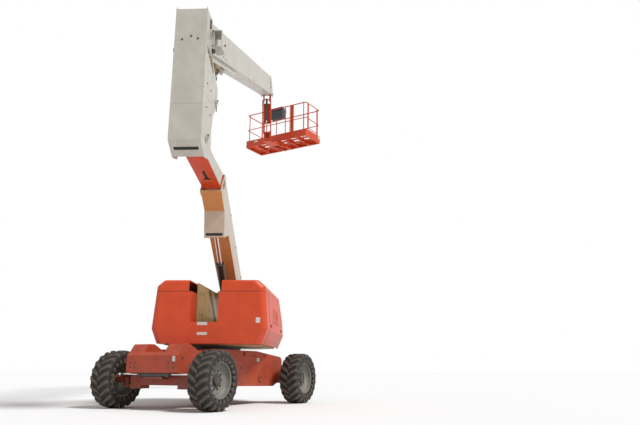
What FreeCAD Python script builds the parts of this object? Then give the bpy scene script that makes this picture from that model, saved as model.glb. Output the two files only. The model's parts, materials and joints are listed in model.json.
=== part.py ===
import FreeCAD, Part
import math
import os
import Sketcher

# Articulating boom lift, in millimetres.
# The origin lies on the ground under the slewing axis. X runs along the chassis from the
# steered axle (negative) to the driven axle (positive), Y to the left and Z up.

# Driving dimensions: alias, value, what it is
SIZES = [
    # wheels and axles
    ("wheelbase", 3050, "between the two axles"),
    ("track", 2080, "between the middles of the tyres"),
    ("tyre_diameter", 1000, "over the lugs"),
    ("tyre_width", 400, "over the side walls"),
    ("tyre_tread_width", 372, "across the lugs"),
    ("tyre_carcass_diameter", 940, "between the lugs"),
    ("tyre_shoulder_diameter", 800, "where the side walls are widest"),
    ("tyre_crown_width", 300, "flat of the carcass under the lugs"),
    ("lug_bar_width", 50, "tread lugs, round the tyre"),
    ("lug_bar_depth", 76, "tread lugs with their root in the carcass"),
    ("lug_bar_sweep", 85, "a lug's shoulder end ahead of its middle end"),
    ("rim_diameter", 590, "bead seat"),
    ("rim_width", 320, "over the flanges"),
    ("rim_wall", 16, "barrel thickness"),
    ("rim_disc_offset", 62, "disc outboard of the tyre's middle"),
    ("rim_disc", 14, "disc thickness"),
    ("hub_diameter", 190, "hub boss through the disc"),
    ("hub_proud", 40, "hub boss outboard of the disc"),
    ("running_gap", 0.5, "between fitted round faces of two bodies"),
    ("seat_gap", 0.3, "between seated faces of two bodies"),
    ("kingpin_spread", 1600, "between the kingpins"),
    ("kingpin_diameter", 60, "kingpin"),
    ("yoke_throat", 170, "axle beam ends this far inboard of the kingpin"),
    ("knuckle_diameter", 110, "knuckle barrel"),
    ("knuckle_height", 176, "knuckle barrel"),
    ("spindle_diameter", 120, "stub axle"),
    ("yoke_radius", 66, "yoke plates round the kingpin"),
    ("yoke_plate", 34, "yoke plate thickness"),
    ("axle_beam_depth", 230, "along X"),
    ("axle_beam_top", 604, "above the ground"),
    ("axle_beam_bottom", 404, "above the ground"),
    ("axle_foot_bottom", 344, "pads near the beam's ends"),
    ("axle_foot_inner", 400, "pads start this far from the middle"),
    ("steer_arm", 240, "kingpin to the track rod's eye"),
    ("steer_arm_inset", 30, "eye inboard of the kingpin"),
    ("steer_arm_plate", 28, "arm thickness"),
    ("steer_rod_height", 590, "above the ground"),
    ("steer_rod_diameter", 36, "rod of the steering cylinder"),
    ("steer_barrel_diameter", 84, "barrel of the steering cylinder"),
    ("steer_barrel_length", 700, "barrel of the steering cylinder"),
    ("steer_eye_diameter", 64, "eye at each rod's end"),
    ("drive_beam_depth", 250, "along X"),
    ("drive_beam_height", 200, "along Z"),
    ("drive_tube_diameter", 170, "tube out to each drive hub"),
    # chassis
    ("chassis_half_width", 600, "box between the axles"),
    ("chassis_near", 930, "box starts this far before the origin"),
    ("chassis_far", 1600, "box ends this far behind the origin"),
    ("chassis_top", 1030, "above the ground"),
    ("chassis_far_top", 930, "top at the far end"),
    ("chassis_bottom", 380, "above the ground"),
    ("nose_half_width", 545, "box over the steered axle"),
    ("nose_reach", 1870, "its front face"),
    ("nose_top", 960, "between the lobes"),
    ("nose_bottom", 610, "over the axle beam"),
    ("lobe_top", 1098, "the two humps"),
    ("lobe_inner", 220, "humps start this far from the middle"),
    ("eye_plate", 30, "tie-down eyes"),
    ("eye_bore", 50, "tie-down eyes"),
    ("eye_width", 120, "tie-down eyes"),
    ("eye_near", 600, "tie-down eyes before the origin"),
    ("eye_far", 700, "tie-down eyes behind the origin"),
    # slewing deck
    ("swing_rest", 23, "deck turned from the chassis, degrees"),
    ("bearing_diameter", 960, "slewing ring"),
    ("bearing_height", 75, "slewing ring"),
    ("bearing_bore", 700, "slewing ring"),
    ("deck_plate", 30, "deck plate thickness"),
    ("deck_bottom", 1120, "skirt's lower edge"),
    ("deck_crease", 1386, "widest level of the covers"),
    ("deck_rear", 1161, "rear face behind the axis"),
    ("deck_front", 1880, "front end before the axis"),
    ("deck_left", 975, "widest, left of the axis"),
    ("deck_right", 1160, "widest, right of the axis"),
    ("deck_tuck", 110, "skirt's lower edge inside the crease"),
    ("hood_lean", 70, "cover's upper edge inside the crease"),
    ("hood_seam", 2060, "joint line between casting and hood"),
    ("hood_top", 2270, "top of the hoods"),
    ("hood_wall", 16, "moulded hood"),
    ("notch_half_width", 250, "slot for the tower boom"),
    ("notch_floor", 1505, "top of the casting in the slot"),
    ("casting_depth", 420, "counterweight along X"),
    ("casting_corner", 110, "rounding of its upright corners"),
    ("hood_edge", 60, "rounding of the hood's long edges"),
    ("mast_plate", 24, "plates beside the tower boom"),
    ("mast_plate_top", 2280, "their long edge"),
    ("mast_plate_rear", 640, "they start this far behind the axis"),
    ("engine_length", 1000, "along X"),
    ("engine_width", 560, "along Y"),
    ("engine_height", 640, "along Z"),
    # tower boom
    ("tower_pivot_x", 1593, "ahead of the axis"),
    ("tower_pivot_z", 2291, "above the ground"),
    ("tower_rest", 36.5, "elevation as it stands, degrees"),
    ("tower_width", 400, "outer boom"),
    ("tower_height", 506, "outer boom"),
    ("tower_wall", 10, "outer boom"),
    ("tower_start", 260, "tube starts this far from the pivot"),
    ("tower_end", 3200, "tube ends this far from the pivot"),
    ("tower_fly_width", 350, "inner boom"),
    ("tower_fly_height", 390, "inner boom"),
    ("tower_fly_start", 1150, "inner boom, hidden end"),
    ("tower_stroke", 1800, "inner boom slides out"),
    ("pivot_pin", 90, "main pins"),
    ("pivot_boss", 190, "bosses round the main pins"),
    ("knee_reach", 4786, "upright's pin along the tower boom"),
    ("knee_drop", 918, "upright's pin below the tower boom's axis"),
    ("knee_radius", 150, "end of the gooseneck"),
    ("wedge_low", 2310, "bracket's deep corner along the tower boom"),
    ("wedge_high", 2690, "bracket's upper corner along the tower boom"),
    ("wedge_mouth", 2040, "bracket's lower corner along the tower boom"),
    ("wedge_depth", 608, "deep corner below the tower boom's axis"),
    ("wedge_plate", 14, "bracket plates"),
    # cylinder that raises the tower boom
    ("tower_cyl_base_x", 1375, "lower pin"),
    ("tower_cyl_base_z", 1493, "lower pin"),
    ("tower_eye_reach", 2300, "rod eye along the tower boom"),
    ("tower_eye_drop", 450, "rod eye below the tower boom's axis"),
    ("tower_barrel_diameter", 150, "barrel"),
    ("tower_barrel_length", 1850, "base pin to head"),
    ("tower_rod_diameter", 80, "rod"),
    ("tower_rod_length", 1400, "rod with its eye"),
    # upright
    ("upright_width", 536, "over the side plates"),
    ("upright_plate", 12, "side and back plates"),
    ("upright_back", 353, "back plate behind the lower pin"),
    ("upright_top", 2206, "top above the lower pin"),
    ("upright_foot", 154, "back plate's lower edge below the lower pin"),
    ("upright_toe", 350, "lowest corner below the lower pin"),
    ("bulge_reach", 697, "front edge at the bulge before the lower pin"),
    ("main_pivot_ahead", -50, "upper pin before the lower pin"),
    ("main_pivot_up", 1908, "upper pin above the lower pin"),
    # main boom
    ("main_rest", 20.36, "elevation as it stands, degrees"),
    ("main_width", 378, "outer boom"),
    ("main_height", 563, "outer boom"),
    ("main_wall", 7, "outer boom"),
    ("main_start", 380, "tube starts this far from the pivot"),
    ("main_end", 9150, "tube ends this far from the pivot"),
    ("main_fly_width", 330, "inner boom"),
    ("main_fly_height", 460, "inner boom"),
    ("main_fly_start", 3100, "inner boom, hidden end"),
    ("main_fly_end", 9400, "inner boom tube ends"),
    ("main_stroke", 5200, "inner boom slides out"),
    ("nose_pin_reach", 9624, "jib pin along the main boom"),
    ("nose_plate", 14, "plates beside the inner boom's nose"),
    ("nose_pin_drop", 262, "jib pin below the main boom's axis"),
    ("channel_start", 620, "channel under the main boom starts"),
    ("channel_end", 2980, "channel under the main boom ends"),
    ("channel_depth", 100, "channel under the main boom"),
    ("channel_width", 300, "channel under the main boom"),
    ("main_cyl_base_ahead", 577, "lower pin before the upright's lower pin"),
    ("main_cyl_base_up", 900, "lower pin above the upright's lower pin"),
    ("main_eye_reach", 1800, "rod eye along the main boom"),
    ("main_eye_drop", 425, "rod eye below the main boom's axis"),
    ("main_barrel_diameter", 110, "barrel"),
    ("main_barrel_length", 1300, "base pin to head"),
    ("main_rod_diameter", 70, "rod"),
    ("main_rod_length", 1330, "rod with its eye"),
    # jib
    ("jib_rest", 80, "jib below level as it stands, degrees"),
    ("jib_length", 1250, "between its pins"),
    ("jib_width", 250, "box"),
    ("jib_depth", 100, "box"),
    ("jib_ear", 20, "fork plates at both ends"),
    ("jib_fork", 300, "fork length"),
    ("jib_pin", 50, "pins"),
    ("link_drop", 241, "parallel link below the jib's pins"),
    ("link_back", 65, "parallel link behind the jib's pins"),
    ("link_bar", 18, "parallel link bars"),
    ("link_gap", 4, "between the jib and its link bars"),
    ("link_depth", 70, "parallel link bars"),
    ("jib_cyl_back", 65, "lower pin of its cylinder behind the jib's pin"),
    ("jib_cyl_drop", 195, "lower pin of its cylinder below the jib's pin"),
    ("jib_eye_reach", 950, "rod eye along the jib"),
    ("jib_eye_drop", 150, "rod eye below the jib's axis"),
    ("jib_barrel_diameter", 64, "barrel"),
    ("jib_barrel_length", 700, "base pin to head"),
    ("jib_rod_diameter", 40, "rod"),
    ("jib_rod_length", 720, "rod with its eye"),
    # platform
    ("rotator_ahead", 165, "turning axis before the jib's end pin"),
    ("rotator_diameter", 170, "housing"),
    ("rotator_top", 60, "housing above the jib's end pin"),
    ("rotator_bottom", 235, "housing below the jib's end pin"),
    ("platform_yaw", 28, "platform turned from the boom, degrees"),
    ("platform_length", 2440, "across"),
    ("platform_depth", 910, "fore and aft"),
    ("platform_inner", 430, "inner edge before the turning axis"),
    ("platform_floor", 119, "floor's underside below the jib's end pin"),
    ("floor_frame", 90, "floor frame height"),
    ("floor_wall", 40, "floor frame width"),
    ("floor_plate", 8, "perforated floor"),
    ("kick_height", 150, "kick plate above the floor frame"),
    ("kick_plate", 5, "kick plate thickness"),
    ("rail_height", 1100, "top rail above the floor"),
    ("mid_rail_height", 560, "middle rail above the floor"),
    ("rail_tube", 34, "top rails"),
    ("rail_post", 30, "posts"),
    ("mid_rail_tube", 26, "middle rails"),
    ("gate_width", 620, "gate between its posts"),
    ("console_width", 480, "control console"),
    ("console_depth", 230, "control console"),
    ("console_height", 330, "control console"),
]

doc = FreeCAD.newDocument("BoomLift")
sheet = doc.addObject("Spreadsheet::Sheet", "Sizes")


class Size:
    """A dimension: its value now and the sheet expression that gives it."""

    def __init__(self, value, text):
        self.value = float(value)
        self.text = text

    def __add__(self, other):
        other = as_size(other)
        return Size(self.value + other.value, "(%s + %s)" % (self.text, other.text))

    def __sub__(self, other):
        other = as_size(other)
        return Size(self.value - other.value, "(%s - %s)" % (self.text, other.text))

    def __mul__(self, other):
        other = as_size(other)
        return Size(self.value * other.value, "(%s * %s)" % (self.text, other.text))

    def __truediv__(self, other):
        other = as_size(other)
        return Size(self.value / other.value, "(%s / %s)" % (self.text, other.text))

    def __neg__(self):
        return Size(-self.value, "(0 - %s)" % self.text)

    __radd__ = __add__
    __rmul__ = __mul__

    def __rsub__(self, other):
        return as_size(other) - self


def as_size(item):
    return item if isinstance(item, Size) else Size(item, "(%r)" % item)


def span(one, other):
    """Two levels, the lower first."""
    return sorted([as_size(one), as_size(other)], key=lambda size: size.value)


def sine(angle):
    return Size(math.sin(math.radians(angle.value)), "sin(%s)" % angle.text)


def cosine(angle):
    return Size(math.cos(math.radians(angle.value)), "cos(%s)" % angle.text)


def bearing(rise, run):
    """The angle in degrees of a direction with this rise and run."""
    angle = math.degrees(math.atan2(rise.value, run.value))
    return Size(angle, "(atan2(%s; %s) / 1 deg)" % (rise.text, run.text))


class Sheet:
    """Reads the driving dimensions by their names."""


d = Sheet()
for row, (alias, value, note) in enumerate(SIZES, start=1):
    sheet.set("A%d" % row, alias)
    sheet.set("B%d" % row, str(value))
    sheet.set("C%d" % row, note)
    sheet.setAlias("B%d" % row, alias)
    setattr(d, alias, Size(value, "Sizes.%s" % alias))
doc.recompute()

AXES = {"x": FreeCAD.Vector(1, 0, 0), "y": FreeCAD.Vector(0, 1, 0), "z": FreeCAD.Vector(0, 0, 1)}


class Place:
    """A frame reached by moves and turns, with the expression that repeats them."""

    def __init__(self, value=None, text=""):
        self.value = value or FreeCAD.Placement()
        self.text = text

    def then(self, step, text):
        return Place(self.value * step, self.text + " * " + text if self.text else text)

    def move(self, x=0, y=0, z=0):
        x, y, z = as_size(x), as_size(y), as_size(z)
        step = FreeCAD.Placement(FreeCAD.Vector(x.value, y.value, z.value), FreeCAD.Rotation())
        text = ("create(<<placement>>; create(<<vector>>; %s; %s; %s); "
                "create(<<rotation>>; create(<<vector>>; 0; 0; 1); 0))" % (x.text, y.text, z.text))
        return self.then(step, text)

    def turn(self, axis, angle):
        angle = as_size(angle)
        step = FreeCAD.Placement(FreeCAD.Vector(), FreeCAD.Rotation(AXES[axis], angle.value))
        text = ("create(<<placement>>; create(<<vector>>; 0; 0; 0); "
                "create(<<rotation>>; create(<<vector>>; %d; %d; %d); %s))"
                % (*AXES[axis], angle.text))
        return self.then(step, text)


class Polygon:
    """A closed outline of straight sides; corners may be rounded."""

    def __init__(self, points, rounds=None):
        self.points = [(as_size(x), as_size(y)) for x, y in points]
        self.rounds = {i: as_size(r) for i, r in (rounds or {}).items()}

    def draw(self, sketch):
        count = len(self.points)
        spots = [FreeCAD.Vector(x.value, y.value, 0) for x, y in self.points]
        starts, ends = list(spots), list(spots)
        for i, size in self.rounds.items():
            back = (spots[i - 1] - spots[i]).normalize()
            ahead = (spots[(i + 1) % count] - spots[i]).normalize()
            reach = size.value / math.tan(back.getAngle(ahead) / 2)
            ends[i] = spots[i] + back * reach
            starts[i] = spots[i] + ahead * reach
        sides = [sketch.addGeometry(Part.LineSegment(starts[i], ends[(i + 1) % count]), False)
                 for i in range(count)]
        for i, (x, y) in enumerate(self.points):
            before, after = sides[i - 1], sides[i]
            if i in self.rounds:
                self.round_corner(sketch, i, before, after, ends[i], starts[i], x, y)
            else:
                sketch.addConstraint(Sketcher.Constraint("Coincident", before, 2, after, 1))
                fix_point(sketch, after, 1, x, y)

    def round_corner(self, sketch, i, before, after, first, last, x, y):
        size = self.rounds[i]
        corner = FreeCAD.Vector(x.value, y.value, 0)
        half = (first + last) * 0.5 - corner
        run = (first - corner).Length
        centre = corner + half.normalize() * math.hypot(run, size.value)
        middle = corner + (centre - corner).normalize() * ((centre - corner).Length - size.value)
        arc = sketch.addGeometry(Part.Arc(first, middle, last), False)
        turns_left = (first - centre).cross(last - centre).z > 0
        head, tail = (1, 2) if turns_left else (2, 1)
        mark = sketch.addGeometry(Part.Point(corner), True)
        sketch.addConstraint(Sketcher.Constraint("Tangent", before, 2, arc, head))
        sketch.addConstraint(Sketcher.Constraint("Tangent", arc, tail, after, 1))
        sketch.addConstraint(Sketcher.Constraint("PointOnObject", mark, 1, before))
        sketch.addConstraint(Sketcher.Constraint("PointOnObject", mark, 1, after))
        fix_point(sketch, mark, 1, x, y)
        name = sketch.addConstraint(Sketcher.Constraint("Radius", arc, size.value))
        sketch.setExpression("Constraints[%d]" % name, size.text)


class Circle:
    """A round outline."""

    def __init__(self, x, y, diameter):
        self.x, self.y, self.diameter = as_size(x), as_size(y), as_size(diameter)

    def draw(self, sketch):
        centre = FreeCAD.Vector(self.x.value, self.y.value, 0)
        ring = Part.Circle(centre, FreeCAD.Vector(0, 0, 1), self.diameter.value / 2)
        geo = sketch.addGeometry(ring, False)
        fix_point(sketch, geo, 3, self.x, self.y)
        name = sketch.addConstraint(Sketcher.Constraint("Diameter", geo, self.diameter.value))
        sketch.setExpression("Constraints[%d]" % name, self.diameter.text)


def fix_point(sketch, geo, spot, x, y):
    for kind, size in (("DistanceX", x), ("DistanceY", y)):
        name = sketch.addConstraint(Sketcher.Constraint(kind, -1, 1, geo, spot, size.value))
        sketch.setExpression("Constraints[%d]" % name, size.text)


def rectangle(x0, x1, y0, y1, rounding=None):
    points = [(x0, y0), (x1, y0), (x1, y1), (x0, y1)]
    return Polygon(points, {i: rounding for i in range(4)} if rounding is not None else None)


class Piece:
    """One sub-part: a body with sketches on its own origin planes, or a copy of another piece."""

    # plane name: role of the origin plane, and whether its normal points along the axis
    PLANES = {"xy": ("XY_Plane", 1), "xz": ("XZ_Plane", -1), "yz": ("YZ_Plane", 1)}

    def __init__(self, name, place=None, like=None):
        self.body = doc.addObject("PartDesign::Body", name)
        self.body.Label = name
        self.body.AllowCompound = True
        self.count = 0
        if like is not None:
            copy = self.body.newObject("PartDesign::FeatureBase", name + "_Copy")
            copy.BaseFeature = like.body.Tip
            self.body.Tip = copy
        if place is not None and place.text:
            self.body.setExpression("Placement", place.text)

    def sketch(self, plane, level, outlines):
        role, facing = self.PLANES[plane]
        self.count += 1
        sketch = self.body.newObject("Sketcher::SketchObject", "%s_sketch%d" % (self.body.Name, self.count))
        origin = [item for item in self.body.Origin.OriginFeatures if item.Role == role][0]
        sketch.AttachmentSupport = [(origin, "")]
        sketch.MapMode = "FlatFace"
        level = as_size(level) if facing > 0 else -as_size(level)
        sketch.setExpression(".AttachmentOffset.Base.z", level.text)
        for outline in outlines if isinstance(outlines, list) else [outlines]:
            outline.draw(sketch)
        return sketch

    def extrude(self, kind, plane, low, high, outlines):
        """Fills or cuts the outlines between two levels along the plane's axis."""
        low, high = as_size(low), as_size(high)
        facing = self.PLANES[plane][1]
        sketch = self.sketch(plane, low if facing > 0 else high, outlines)
        feature = self.body.newObject("PartDesign::" + kind, "%s_%s%d" % (self.body.Name, kind, self.count))
        feature.Profile = sketch
        feature.Reversed = kind == "Pocket"
        feature.setExpression("Length", (high - low).text)
        self.body.Tip = feature
        return self

    def pad(self, plane, low, high, outlines):
        return self.extrude("Pad", plane, low, high, outlines)

    def pocket(self, plane, low, high, outlines):
        return self.extrude("Pocket", plane, low, high, outlines)

    def revolve(self, plane, axis, outlines, kind="Revolution"):
        """Spins the outlines once round a sketch axis: H for its first axis, V for its second."""
        sketch = self.sketch(plane, 0, outlines)
        feature = self.body.newObject("PartDesign::" + kind, "%s_%s%d" % (self.body.Name, kind, self.count))
        feature.Profile = sketch
        feature.ReferenceAxis = (sketch, ["%s_Axis" % axis])
        feature.Angle = 360
        self.body.Tip = feature
        return self

    def loft(self, plane, sections, kind="AdditiveLoft"):
        """Joins outlines by flat sides: sections are level and outline, in order."""
        sketches = [self.sketch(plane, level, outline) for level, outline in sections]
        feature = self.body.newObject("PartDesign::" + kind, "%s_Loft%d" % (self.body.Name, self.count))
        feature.Profile = sketches[0]
        feature.Sections = sketches[1:]
        feature.Ruled = True
        self.body.Tip = feature
        return self

    def repeat(self, axis, count):
        """Repeats the last feature round one of the piece's axes."""
        base = self.body.Tip
        line = [item for item in self.body.Origin.OriginFeatures if item.Role == "%s_Axis" % axis.upper()][0]
        pattern = self.body.newObject("PartDesign::PolarPattern", "%s_Ring%d" % (self.body.Name, self.count))
        pattern.Originals = [base]
        pattern.Axis = (line, [""])
        pattern.Angle = 360
        pattern.Occurrences = count
        self.body.Tip = pattern
        return self

    def round_edges(self, radius, chosen):
        """Rounds the edges whose middle and direction pass the test."""
        doc.recompute()
        tip = self.body.Tip
        names = []
        for i, edge in enumerate(tip.Shape.Edges, start=1):
            middle = edge.valueAt((edge.FirstParameter + edge.LastParameter) / 2)
            way = edge.Vertexes[-1].Point - edge.Vertexes[0].Point
            if chosen(middle, way):
                names.append("Edge%d" % i)
        self.count += 1
        fillet = self.body.newObject("PartDesign::Fillet", "%s_Fillet%d" % (self.body.Name, self.count))
        fillet.Base = (tip, names)
        fillet.setExpression("Radius", as_size(radius).text)
        self.body.Tip = fillet
        return self

    def cut(self, other):
        """Takes another piece's shape, given on this piece's axes, out of this one."""
        self.count += 1
        feature = self.body.newObject("PartDesign::Boolean", "%s_Cut%d" % (self.body.Name, self.count))
        feature.Type = "Cut"
        feature.addObjects([other.body])
        self.body.Tip = feature
        return self


# Frames of the moving groups
ground = Place()
deck = ground.turn("z", d.swing_rest)
tower = deck.move(x=d.tower_pivot_x, z=d.tower_pivot_z).turn("z", 180).turn("y", -d.tower_rest)
upright = tower.move(x=d.knee_reach, z=-d.knee_drop).turn("y", d.tower_rest).turn("z", 180)
main = upright.move(x=d.main_pivot_ahead, z=d.main_pivot_up).turn("y", -d.main_rest)
knuckle = main.move(x=d.nose_pin_reach, z=-d.nose_pin_drop).turn("y", d.main_rest)
jib = knuckle.turn("y", d.jib_rest)
cradle = jib.move(x=d.jib_length).turn("y", -d.jib_rest)
platform = cradle.move(x=d.rotator_ahead).turn("z", -d.platform_yaw)


def aimed(frame, base_x, base_z, eye_x, eye_z):
    """A frame at a cylinder's base pin with X pointing at its rod's eye."""
    tilt = bearing(eye_z - base_z, eye_x - base_x)
    return frame.move(x=base_x, z=base_z).turn("y", -tilt)


tower_eye_x = d.tower_pivot_x - cosine(d.tower_rest) * d.tower_eye_reach - sine(d.tower_rest) * d.tower_eye_drop
tower_eye_z = d.tower_pivot_z + sine(d.tower_rest) * d.tower_eye_reach - cosine(d.tower_rest) * d.tower_eye_drop
tower_cylinder = aimed(deck, d.tower_cyl_base_x, d.tower_cyl_base_z, tower_eye_x, tower_eye_z)

main_eye_x = d.main_pivot_ahead + cosine(d.main_rest) * d.main_eye_reach + sine(d.main_rest) * d.main_eye_drop
main_eye_z = d.main_pivot_up + sine(d.main_rest) * d.main_eye_reach - cosine(d.main_rest) * d.main_eye_drop
main_cylinder = aimed(upright, d.main_cyl_base_ahead, d.main_cyl_base_up, main_eye_x, main_eye_z)

jib_eye_x = cosine(d.jib_rest) * d.jib_eye_reach - sine(d.jib_rest) * d.jib_eye_drop
jib_eye_z = -(sine(d.jib_rest) * d.jib_eye_reach) - cosine(d.jib_rest) * d.jib_eye_drop
jib_cylinder = aimed(knuckle, -d.jib_cyl_back, -d.jib_cyl_drop, jib_eye_x, jib_eye_z)


def hypotenuse(run, rise):
    length = math.hypot(run.value, rise.value)
    return Size(length, "sqrt(%s ^ 2 + %s ^ 2)" % (run.text, rise.text))


tower_cyl_rest = hypotenuse(tower_eye_x - d.tower_cyl_base_x, tower_eye_z - d.tower_cyl_base_z)
main_cyl_rest = hypotenuse(main_eye_x - d.main_cyl_base_ahead, main_eye_z - d.main_cyl_base_up)
jib_cyl_rest = hypotenuse(jib_eye_x + d.jib_cyl_back, jib_eye_z + d.jib_cyl_drop)

pieces = {}


def piece(name, place=None, like=None):
    pieces[name] = Piece(name, place, like)
    return pieces[name]


# Wheels: name, X sign, Y sign
WHEELS = [
    ("front_right", -1, -1),
    ("front_left", -1, 1),
    ("rear_right", 1, -1),
    ("rear_left", 1, 1),
]

LUG_COUNT = 18


def ring(radius):
    """A ring of flats, two for each lug of a side, that touch a circle from outside."""
    count = 2 * LUG_COUNT
    reach = as_size(radius) / math.cos(math.pi / count)
    turns = [2 * math.pi * (i + 0.5) / count for i in range(count)]
    return Polygon([(reach * math.cos(turn), reach * math.sin(turn)) for turn in turns])


def lug_sections(out):
    """Middle end, shoulder and outer end of a tread lug at the tyre's top; one side is half a pitch ahead."""
    turn = math.pi / LUG_COUNT if out > 0 else 0
    half, top = d.lug_bar_width / 2, d.tyre_diameter / 2
    deep, sweep = d.lug_bar_depth, d.lug_bar_sweep
    reach = d.tyre_tread_width / 2
    sections = []
    # level, ahead, fall from the tyre's outer diameter
    for level, ahead, fall in ((as_size(8), -sweep * 0.45, 3), (d.tyre_crown_width / 2, sweep * 0.55, 6),
                               (reach, sweep * 0.55 + 24, 44)):
        points = []
        for x, z in ((ahead - half, top - fall - deep), (ahead + half, top - fall - deep),
                     (ahead + half, top - fall), (ahead - half, top - fall)):
            points.append((x * math.cos(turn) + z * math.sin(turn), z * math.cos(turn) - x * math.sin(turn)))
        sections.append((level * out, Polygon(points)))
    return sections


def shape_tyre(tyre):
    """Carcass between flat-sided rings, with a row of lugs on each half."""
    wide, crown_half = d.tyre_width / 2, d.tyre_crown_width / 2
    crown, shoulder = d.tyre_carcass_diameter / 2, d.tyre_shoulder_diameter / 2
    tyre.loft("xz", [(-wide, ring(shoulder)), (-crown_half, ring(crown)), (crown_half, ring(crown)),
                     (wide, ring(shoulder))])
    bore = d.rim_diameter / 2 + d.seat_gap
    bead = d.rim_width / 2 - 26
    for out in (-1, 1):
        tyre.loft("xz", [((wide + 1) * out, ring(shoulder - 14)), (bead * out, ring(bore))], "SubtractiveLoft")
    tyre.pocket("xz", -wide, wide, ring(bore))
    for out in (-1, 1):
        tyre.loft("xz", lug_sections(out)).repeat("y", LUG_COUNT)


def shape_rim(rim):
    """Barrel with flanges, disc and hub; Y points outboard."""
    seat, half_rim = d.rim_diameter / 2, d.rim_width / 2
    hub = d.hub_diameter / 2
    disc_in = d.rim_disc_offset - d.rim_disc
    rim.revolve("yz", "H", Polygon([
        (-half_rim, seat - d.rim_wall), (-half_rim, seat + 13), (-half_rim + 13, seat + 13),
        (-half_rim + 13, seat), (half_rim - 13, seat), (half_rim - 13, seat + 13),
        (half_rim, seat + 13), (half_rim, seat - d.rim_wall),
        (d.rim_disc_offset, seat - d.rim_wall), (d.rim_disc_offset, hub),
        (d.rim_disc_offset + d.hub_proud, hub - 14), (d.rim_disc_offset + d.hub_proud, 0),
        (disc_in - 40, 0), (disc_in - 40, hub), (disc_in, hub), (disc_in, seat - d.rim_wall),
    ]))


for wheel_name, wheel_end, wheel_side in WHEELS:
    spot = ground.move(x=d.wheelbase / 2 * wheel_end, y=d.track / 2 * wheel_side, z=d.tyre_diameter / 2)
    spot = spot.turn("z", 0 if wheel_side > 0 else 180)
    for kind, shape_it in (("tyre", shape_tyre), ("rim", shape_rim)):
        shape_it(piece("%s_%s" % (kind, wheel_name), spot))

# The spindles and drive tubes end just inboard of the rims' hubs.
spindle_end = d.track / 2 + d.rim_disc_offset - d.rim_disc - 40 - d.running_gap


def build_steer_axle():
    axle_height = d.tyre_diameter / 2
    frame = ground.move(x=-d.wheelbase / 2, z=axle_height)
    beam = piece("steer_axle", frame)
    half, king = d.axle_beam_depth / 2, d.kingpin_spread / 2
    top, bottom = d.axle_beam_top - axle_height, d.axle_beam_bottom - axle_height
    foot = d.axle_foot_bottom - axle_height
    neck = king - d.yoke_throat
    beam.pad("yz", -half, half, Polygon([
        (-neck, foot), (-d.axle_foot_inner, foot), (-d.axle_foot_inner, bottom),
        (d.axle_foot_inner, bottom), (d.axle_foot_inner, foot), (neck, foot),
        (neck, top + 16), (neck - 80, top), (-neck + 80, top), (-neck, top + 16),
    ]))
    inner = d.knuckle_height / 2 + d.running_gap
    for sign in (-1, 1):
        for low, high in ((inner, inner + d.yoke_plate), (-inner - d.yoke_plate, -inner)):
            beam.pad("xy", low, high, [
                Polygon([
                    (-d.yoke_radius, (neck - 60) * sign), (d.yoke_radius, (neck - 60) * sign),
                    (d.yoke_radius, (king + d.yoke_radius) * sign),
                    (-d.yoke_radius, (king + d.yoke_radius) * sign),
                ], {2: d.yoke_radius - 8, 3: d.yoke_radius - 8}),
            ])
        beam.pad("xy", -inner - d.yoke_plate, inner + d.yoke_plate,
                 Circle(0, king * sign, d.kingpin_diameter))
    # pedestal under the chassis nose
    beam.pad("xy", top - 20, d.nose_bottom - axle_height - d.seat_gap, rectangle(-half, half, -360, 360, 20))
    # saddle that carries the steering cylinder
    rod = d.steer_rod_height - axle_height
    beam.pad("xz", -190, 190, Polygon([
        (-half, rod - 80), (-half, rod + 8), (-d.steer_arm + 30, rod - d.steer_barrel_diameter / 2 - 4),
        (-d.steer_arm - 30, rod - d.steer_barrel_diameter / 2 - 4),
        (-d.steer_arm - 30, rod - 80),
    ]))
    cylinder = piece("steer_cylinder", frame.move(x=-d.steer_arm, z=rod))
    reach = d.steer_barrel_length / 2
    bore = d.steer_rod_diameter + d.running_gap * 2
    cylinder.pad("xz", -reach, reach, [Circle(0, 0, d.steer_barrel_diameter), Circle(0, 0, bore)])
    for sign in (-1, 1):
        cylinder.pad("xz", (reach - 50) * sign - 25, (reach - 50) * sign + 25,
                     [Circle(0, 0, d.steer_barrel_diameter + 24), Circle(0, 0, bore)])
    cylinder.pad("xz", -170, 170, Polygon([
        (-30, -d.steer_barrel_diameter / 2 - 4 + d.seat_gap), (30, -d.steer_barrel_diameter / 2 - 4 + d.seat_gap),
        (24, -d.steer_rod_diameter), (-24, -d.steer_rod_diameter),
    ]))
    tip = king - d.steer_arm_inset
    rod_piece = piece("steer_rod", frame.move(x=-d.steer_arm, z=rod))
    rod_piece.pad("xz", -tip, tip, Circle(0, 0, d.steer_rod_diameter))
    for sign in (-1, 1):
        rod_piece.pad("xy", -d.steer_rod_diameter / 2, d.steer_rod_diameter / 2,
                      Circle(0, tip * sign, d.steer_eye_diameter))


build_steer_axle()


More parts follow.
